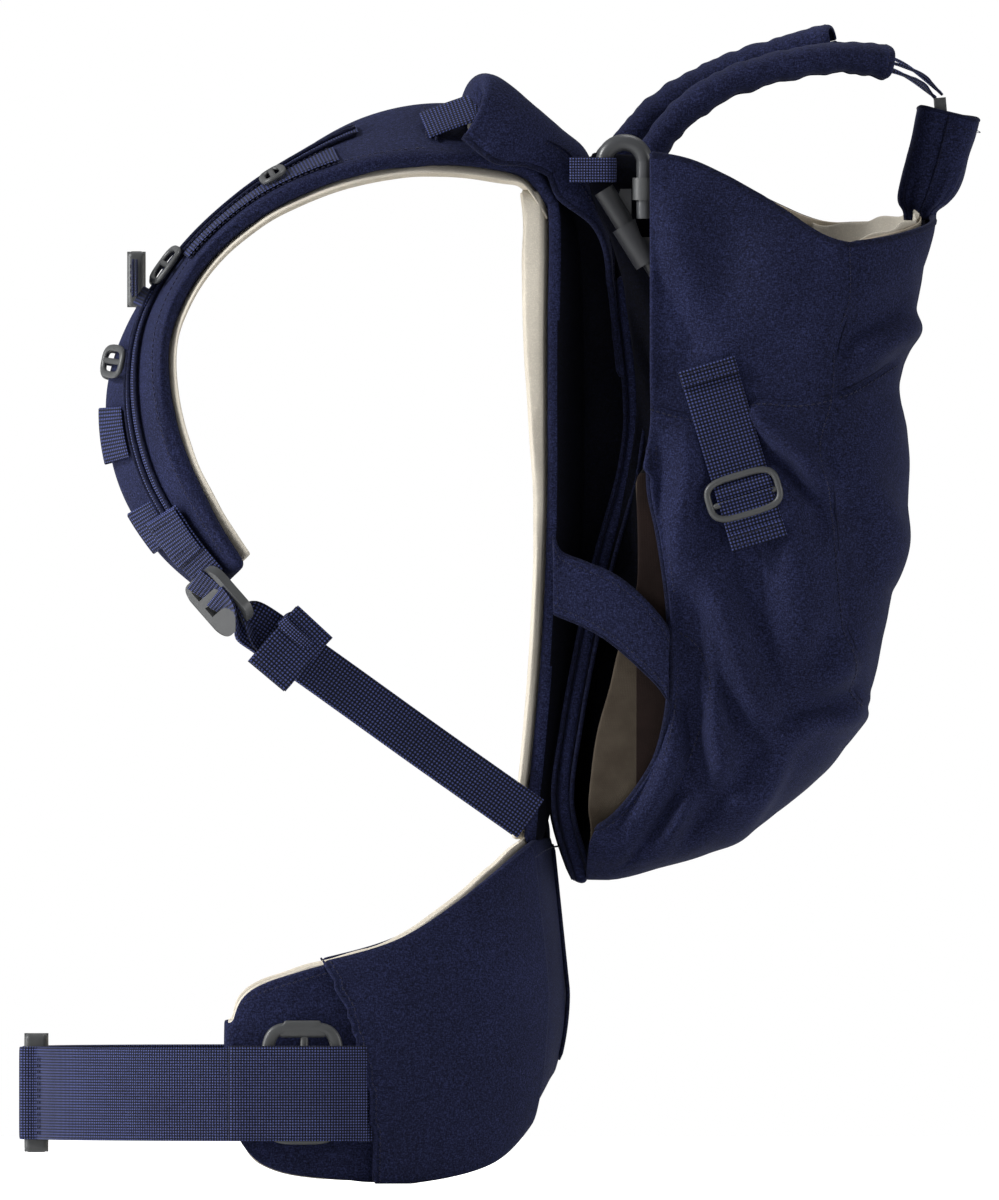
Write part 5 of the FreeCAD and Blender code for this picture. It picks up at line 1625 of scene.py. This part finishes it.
def pad_tube(name, stations, seed):
    """A soft sleeve of cloth over webbing, open at its ends, with creases across it and a wavy lower edge."""
    dense = even_path(stations, 90)
    rows = []
    for i, (x, y, z, share) in enumerate(dense):
        across, out = upward_frame(dense, i)
        row = []
        for j in range(37):
            angle = 2 * math.pi * j / 36
            c, s = math.cos(angle), math.sin(angle)
            wide = signed_power(c, 0.8) * 0.0148
            tall = signed_power(s, 0.8) * 0.0074 * share
            spot = at(x, y, z) + across * wide + out * tall
            crease = 0.0011 * wobble(Vector((i * 0.0034, angle * 0.004, seed)), 0.010, seed)
            crease += 0.0009 * wobble(spot, 0.02, seed + 3)
            sag = 0.0012 * bump(angle, 1.5 * math.pi, 0.8) * wobble(Vector((i * 0.004, 0, 0)), 0.02, seed + 7)
            row.append(spot + (across * c + out * s) * crease - out * sag)
        rows.append(row)
    for k in (0, -1):
        rows[k] = [p - away * 0.0016 for p, away in zip(rows[k], spokes(rows[k]))]
    seam = [p - Z_AXIS * 0.0004 for p in column(rows, 27)]
    pieces = [sheet(name, rows, cloth_navy, 0.0016), cord(f"{name}_seam", seam, 0.0010, cloth_piping, sides=8)]
    for n, k in enumerate((2, -3)):
        ring = [p + away * 0.0006 for p, away in zip(rows[k], spokes(rows[k]))]
        pieces.append(stitches(f"{name}_hem_{n}", ring, spokes(ring), thread))
    return polish(join(pieces, name))


# The four webbings between the pads and the buckle's tongue: (x, y, z).
HARNESS_LINES = (
    ((168, -48, 607.5), (178, -45, 605.6), (186, -38, 603.4), (196, -22, 599), (204, -9.5, 591.5)),
    ((168, -48, 603), (178, -45, 601), (186, -36, 598.8), (195, -21, 595), (201, -9.5, 589)),
    ((140, 52, 616), (152, 48, 617), (168, 40, 613.5), (187, 25, 605.5), (204, 9.5, 592)),
    ((140, 52, 612), (152, 48, 612.5), (166, 40, 608), (185, 25, 600.5), (201, 9.5, 589.4)),
)


def child_harness():
    """The child's two shoulder pads and the webbings from them to the buckle's tongue."""
    place(pad_tube("child_pad_left", LEFT_PAD, 2.0), "child_harness", "navy_fabric", ("child_shoulder_pads",))
    place(pad_tube("child_pad_right", RIGHT_PAD, 5.0), "child_harness", "navy_fabric")
    pieces = []
    for n, line in enumerate(HARNESS_LINES):
        dense = even_path(line, 50)
        frames = [(at(*dense[i]), *upward_frame(dense, i), 1.0) for i in range(50)]
        pieces.append(tape_strip(f"harness_webbing_{n}", frames, 0.0060, 0.0017, tape_fine, lift=-0.0008))
    place(join(pieces, "child_harness_webbing"), "child_harness", "navy_webbing", ("child_harness_webbings",))


# The sleeve's section at each height: (z, front x, rear x, half width).
SLEEVE = (
    (521, 188, 202.5, 17), (526, 187.2, 203, 17.5), (531, 184.4, 209.5, 21), (537, 184.4, 214.5, 23.5),
    (548, 187, 219, 24.5), (562, 190.8, 222.6, 25), (578, 194.6, 226.6, 25),
)


def rear_sleeve():
    """A short fabric sleeve round the harness buckle, gathered where it is sewn to the pouch's rear edge."""
    dense = smooth_path(SLEEVE, 40)
    rows = []
    for z, front, rear, half in dense:
        row = []
        for j in range(49):
            angle = 2 * math.pi * j / 48
            c, s = math.cos(angle), math.sin(angle)
            deep = signed_power(c, 0.5) * (rear - front) / 2
            wide = signed_power(s, 0.45) * half
            gather = (1 - ramp(z, 528, 556)) * 1.2 * math.sin(14 * angle + 0.6)
            tip = (0.8 * math.sin(angle * 2) - 0.2 * deep) * ramp(z, 548, 578)
            spot = at((front + rear) / 2 + deep, wide, z + tip)
            spot += Vector((c, s, 0)) * (0.001 * gather + 0.0009 * wobble(spot, 0.018, 6.0))
            row.append(spot)
        rows.append(row)
    top = [p + Z_AXIS * 0.0003 for p in rows[-1]]
    middle = sum(top[:-1], Vector()) / 48
    row = [p - Z_AXIS * 0.006 + (p - middle).normalized() * 0.0010 for p in rows[-1]]
    pieces = [sheet("rear_sleeve", rows, cloth_navy, 0.0017),
              cord("sleeve_hem", top, 0.0013, cloth_piping, sides=8),
              stitches("sleeve_stitch", row, [(p - middle).normalized() for p in row], thread)]
    for sign in (1, -1):
        seam = [p + Y_AXIS * (0.0008 * sign) for p in column(rows, 12 if sign > 0 else 36)]
        pieces.append(cord(f"sleeve_seam_{sign + 1}", seam, 0.0009, cloth_piping, sides=6))
    place(polish(join(pieces, "rear_sleeve_cloth")), "seat", "navy_fabric", ("rear_sleeve",))


# ------------------------------------------------------------------ moulded fittings
def bar_ring(name, centre, across, along, out, size, radius, side, corner, count=64):
    """A moulded ring: an oval bar bent to a rounded rectangle of size (width, height) round a centre."""
    rings = []
    for i in range(count + 1):
        angle = 2 * math.pi * i / count
        c, s = math.cos(angle), math.sin(angle)
        here = centre + across * (signed_power(c, corner) * size[0] / 2)
        here += along * (signed_power(s, corner) * size[1] / 2)
        spoke = (across * c / size[0] + along * s / size[1]).normalized()
        rings.append(superellipse(here, spoke, out, radius[0], -radius[1], radius[1], 12, 1))
    return tube(name, rings, nylon_dark, caps=False, side=side)


def cross_bar(name, first, last, out, radius, side):
    """A straight bar of oval section between two points."""
    over = (last - first).normalized().cross(out).normalized()
    rings = []
    for share, size in ((0.0, 0.6), (0.04, 1.0), (0.96, 1.0), (1.0, 0.6)):
        wide, tall = radius[0] * size, radius[1] * size
        rings.append(superellipse(first.lerp(last, share), over, out, wide, -tall, tall, 12, 1))
    return tube(name, rings, nylon_dark, side=side)


def strap_ring(name, x, z, share, size, side):
    """An oval ring with a middle bar on the strap's outer face, nearest a place in the side view."""
    spot = at(x, 0, z)
    closest = min(range(len(STRAP)), key=lambda k: abs(STRAP[k][0].x - spot.x) + abs(STRAP[k][0].z - spot.z))
    place_ = closest / (len(STRAP) - 1)
    centre, across, out = strap_point(place_, share, 0.0026)
    along = (strap_point(place_ + 0.01, share, 0.0026)[0] - centre).normalized()
    ring = bar_ring(f"{name}_ring", centre, across, along, out, size, (0.0019, 0.0016), side, 0.62, 48)
    reach = across * (size[0] / 2)
    bar = cross_bar(f"{name}_bar", centre - reach, centre + reach, out, (0.0016, 0.0013), side)
    return join([ring, bar], name)


def small_rings():
    """The straps' clips, the chest strap's sliders and the side webbings' sliders."""
    for side, sign in SIDES:
        clips = [strap_ring(f"strap_clip_{side}_a", -150, 538, 0.25, (0.024, 0.012), sign),
                 strap_ring(f"strap_clip_{side}_b", -223, 442, -0.52, (0.024, 0.015), sign)]
        place(join(clips, f"strap_clips_{side}"), "carrier", "dark_plastic", ("strap_clips",), sign)
        slide = strap_ring(f"chest_slider_{side}", -203, 489, -0.15, (0.030, 0.021), sign)
        place(slide, "chest_strap", "dark_plastic", ("chest_strap_sliders",), sign)
        low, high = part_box(f"side_slider_{side}")
        centre = (low + high) / 2
        centre.y = -abs(centre.y)
        ring = bar_ring(f"side_slider_ring_{side}_a", centre, SIDE_ACROSS, SIDE_ALONG, -Y_AXIS,
                        (0.0385, 0.0215), (0.0018, 0.0015), sign, 0.55)
        left, right = (centre + SIDE_ACROSS * x + SIDE_ALONG * 0.002 for x in (-0.018, 0.018))
        bar = cross_bar(f"side_slider_ring_{side}_b", left, right, -Y_AXIS, (0.0016, 0.0013), sign)
        place(join([ring, bar], f"side_slider_ring_{side}"), f"slider_{side}", "dark_plastic",
              (f"side_slider_{side}",))


def belt_adjusters():
    """An oval ring with a middle bar, which the belt webbing doubles back round."""
    along_belt = Vector((-0.9985, -0.055, 0)).normalized()
    out = Vector((0.055, -0.9985, 0)).normalized()
    centre = at(-139, -165.4, 56)
    middle = centre - along_belt * 0.001
    tab_frames = [(centre + Z_AXIS * height + out * 0.0004, along_belt, out, share) for height, share in
                  ((0.0262, 0.86), (0.0285, 0.92), (0.031, 0.84), (0.0322, 0.7))]
    for side, sign in SIDES:
        pieces = [
            bar_ring(f"belt_adjuster_{side}_ring", centre, along_belt, Z_AXIS, out, (0.038, 0.059),
                     (0.0034, 0.0021), sign, 0.42),
            cross_bar(f"belt_adjuster_{side}_bar", middle - Z_AXIS * 0.028, middle + Z_AXIS * 0.028, out,
                      (0.0022, 0.0016), sign),
            rounded_strip(f"belt_adjuster_{side}_tab", tab_frames, 0.0145, -0.0016, 0.0016, nylon_dark,
                          side=sign, points=24, power=0.5),
        ]
        place(join(pieces, f"belt_adjuster_{side}"), "carrier", "dark_plastic", ("belt_adjusters",), sign)


# ------------------------------------------------------------------ build
shoulder_straps()
strap_tapes()
back_panel()
hood()
seat_front()
side_wraps()
seat_shade_saddle()
hip_belt()
hip_pockets()
belt_tapes()
lower_tapes()
chest_tapes()
pouch()
pouch_seams()
rims()
leg_bands()
side_webbings()
hanger_webbings()
inner_gussets()
child_harness()
rear_sleeve()
belt_adjusters()
small_rings()


# ------------------------------------------------------------------ stage, light and camera
def studio():
    low, high = cad_box
    low, high = Vector(low), Vector(high)
    centre = (low + high) / 2
    mesh = bpy.data.meshes.new("floor")
    verts = [(x, y, low.z - 0.001) for x, y in ((-7, -7), (7, -7), (7, 3), (-7, 3))]
    mesh.from_pydata(verts, [], [(0, 1, 2, 3)])
    floor = add("floor", mesh)
    n = Nodes("floor_paper")
    grain = n.ramp(n.noise(60, 4.0, 0.6), ((0.3, (0.90, 0.90, 0.90)), (0.7, (0.94, 0.94, 0.94))))
    mesh.materials.append(n.finish(grain, 0.9, specular=0.0))
    n.shader.inputs["Emission Color"].default_value = (1, 1, 1, 1)
    n.link(n.node("ShaderNodeLightPath").outputs["Is Camera Ray"], n.shader.inputs["Emission Strength"])

    world = bpy.data.worlds.new("studio")
    bpy.context.scene.world = world
    world.use_nodes = True
    tree = world.node_tree
    background = tree.nodes["Background"]
    background.inputs["Color"].default_value = (1, 1, 1, 1)
    # The camera sees a white background; the cloth is lit by less of it, so that its folds show.
    rays = tree.nodes.new("ShaderNodeLightPath")
    strength = tree.nodes.new("ShaderNodeMapRange")
    strength.inputs["To Min"].default_value = 0.3
    strength.inputs["To Max"].default_value = 1.0
    tree.links.new(rays.outputs["Is Camera Ray"], strength.inputs["Value"])
    tree.links.new(strength.outputs["Result"], background.inputs["Strength"])
    bpy.context.scene.view_settings.view_transform = "Standard"

    def lamp(name, position, size, power):
        data = bpy.data.lights.new(name, "AREA")
        data.shape = "DISK"
        data.size = size
        data.energy = power
        made = add(name, data)
        made.location = centre + Vector(position)
        made.rotation_euler = (-Vector(position)).to_track_quat("-Z", "Y").to_euler()

    lamp("key", (-2.2, -0.9, 1.4), 0.6, 60)
    lamp("left", (-2.6, -0.5, 0.2), 0.8, 30)
    lamp("fill", (-2.0, -1.6, -1.0), 1.0, 30)
    lamp("top", (0.5, 0.6, 2.4), 1.2, 15)
    lamp("rim", (2.2, -0.9, 0.5), 1.0, 14)

    # A long lens from far away; the frame is 648 mm tall at the object.
    azimuth, elevation, distance = math.radians(-0.4), math.radians(-0.1), 30.0
    sight = Vector((math.sin(-azimuth) * math.cos(elevation), math.cos(azimuth) * math.cos(elevation),
                    -math.sin(elevation)))
    data = bpy.data.cameras.new("camera")
    data.sensor_fit = "VERTICAL"
    data.sensor_height = 24
    data.lens = data.sensor_height * distance / 0.648
    camera = add("camera", data)
    camera.location = centre + Vector((-0.0005, 0, 0.0015)) - sight * distance
    camera.rotation_euler = sight.to_track_quat("-Z", "Y").to_euler()
    bpy.context.scene.camera = camera


studio()
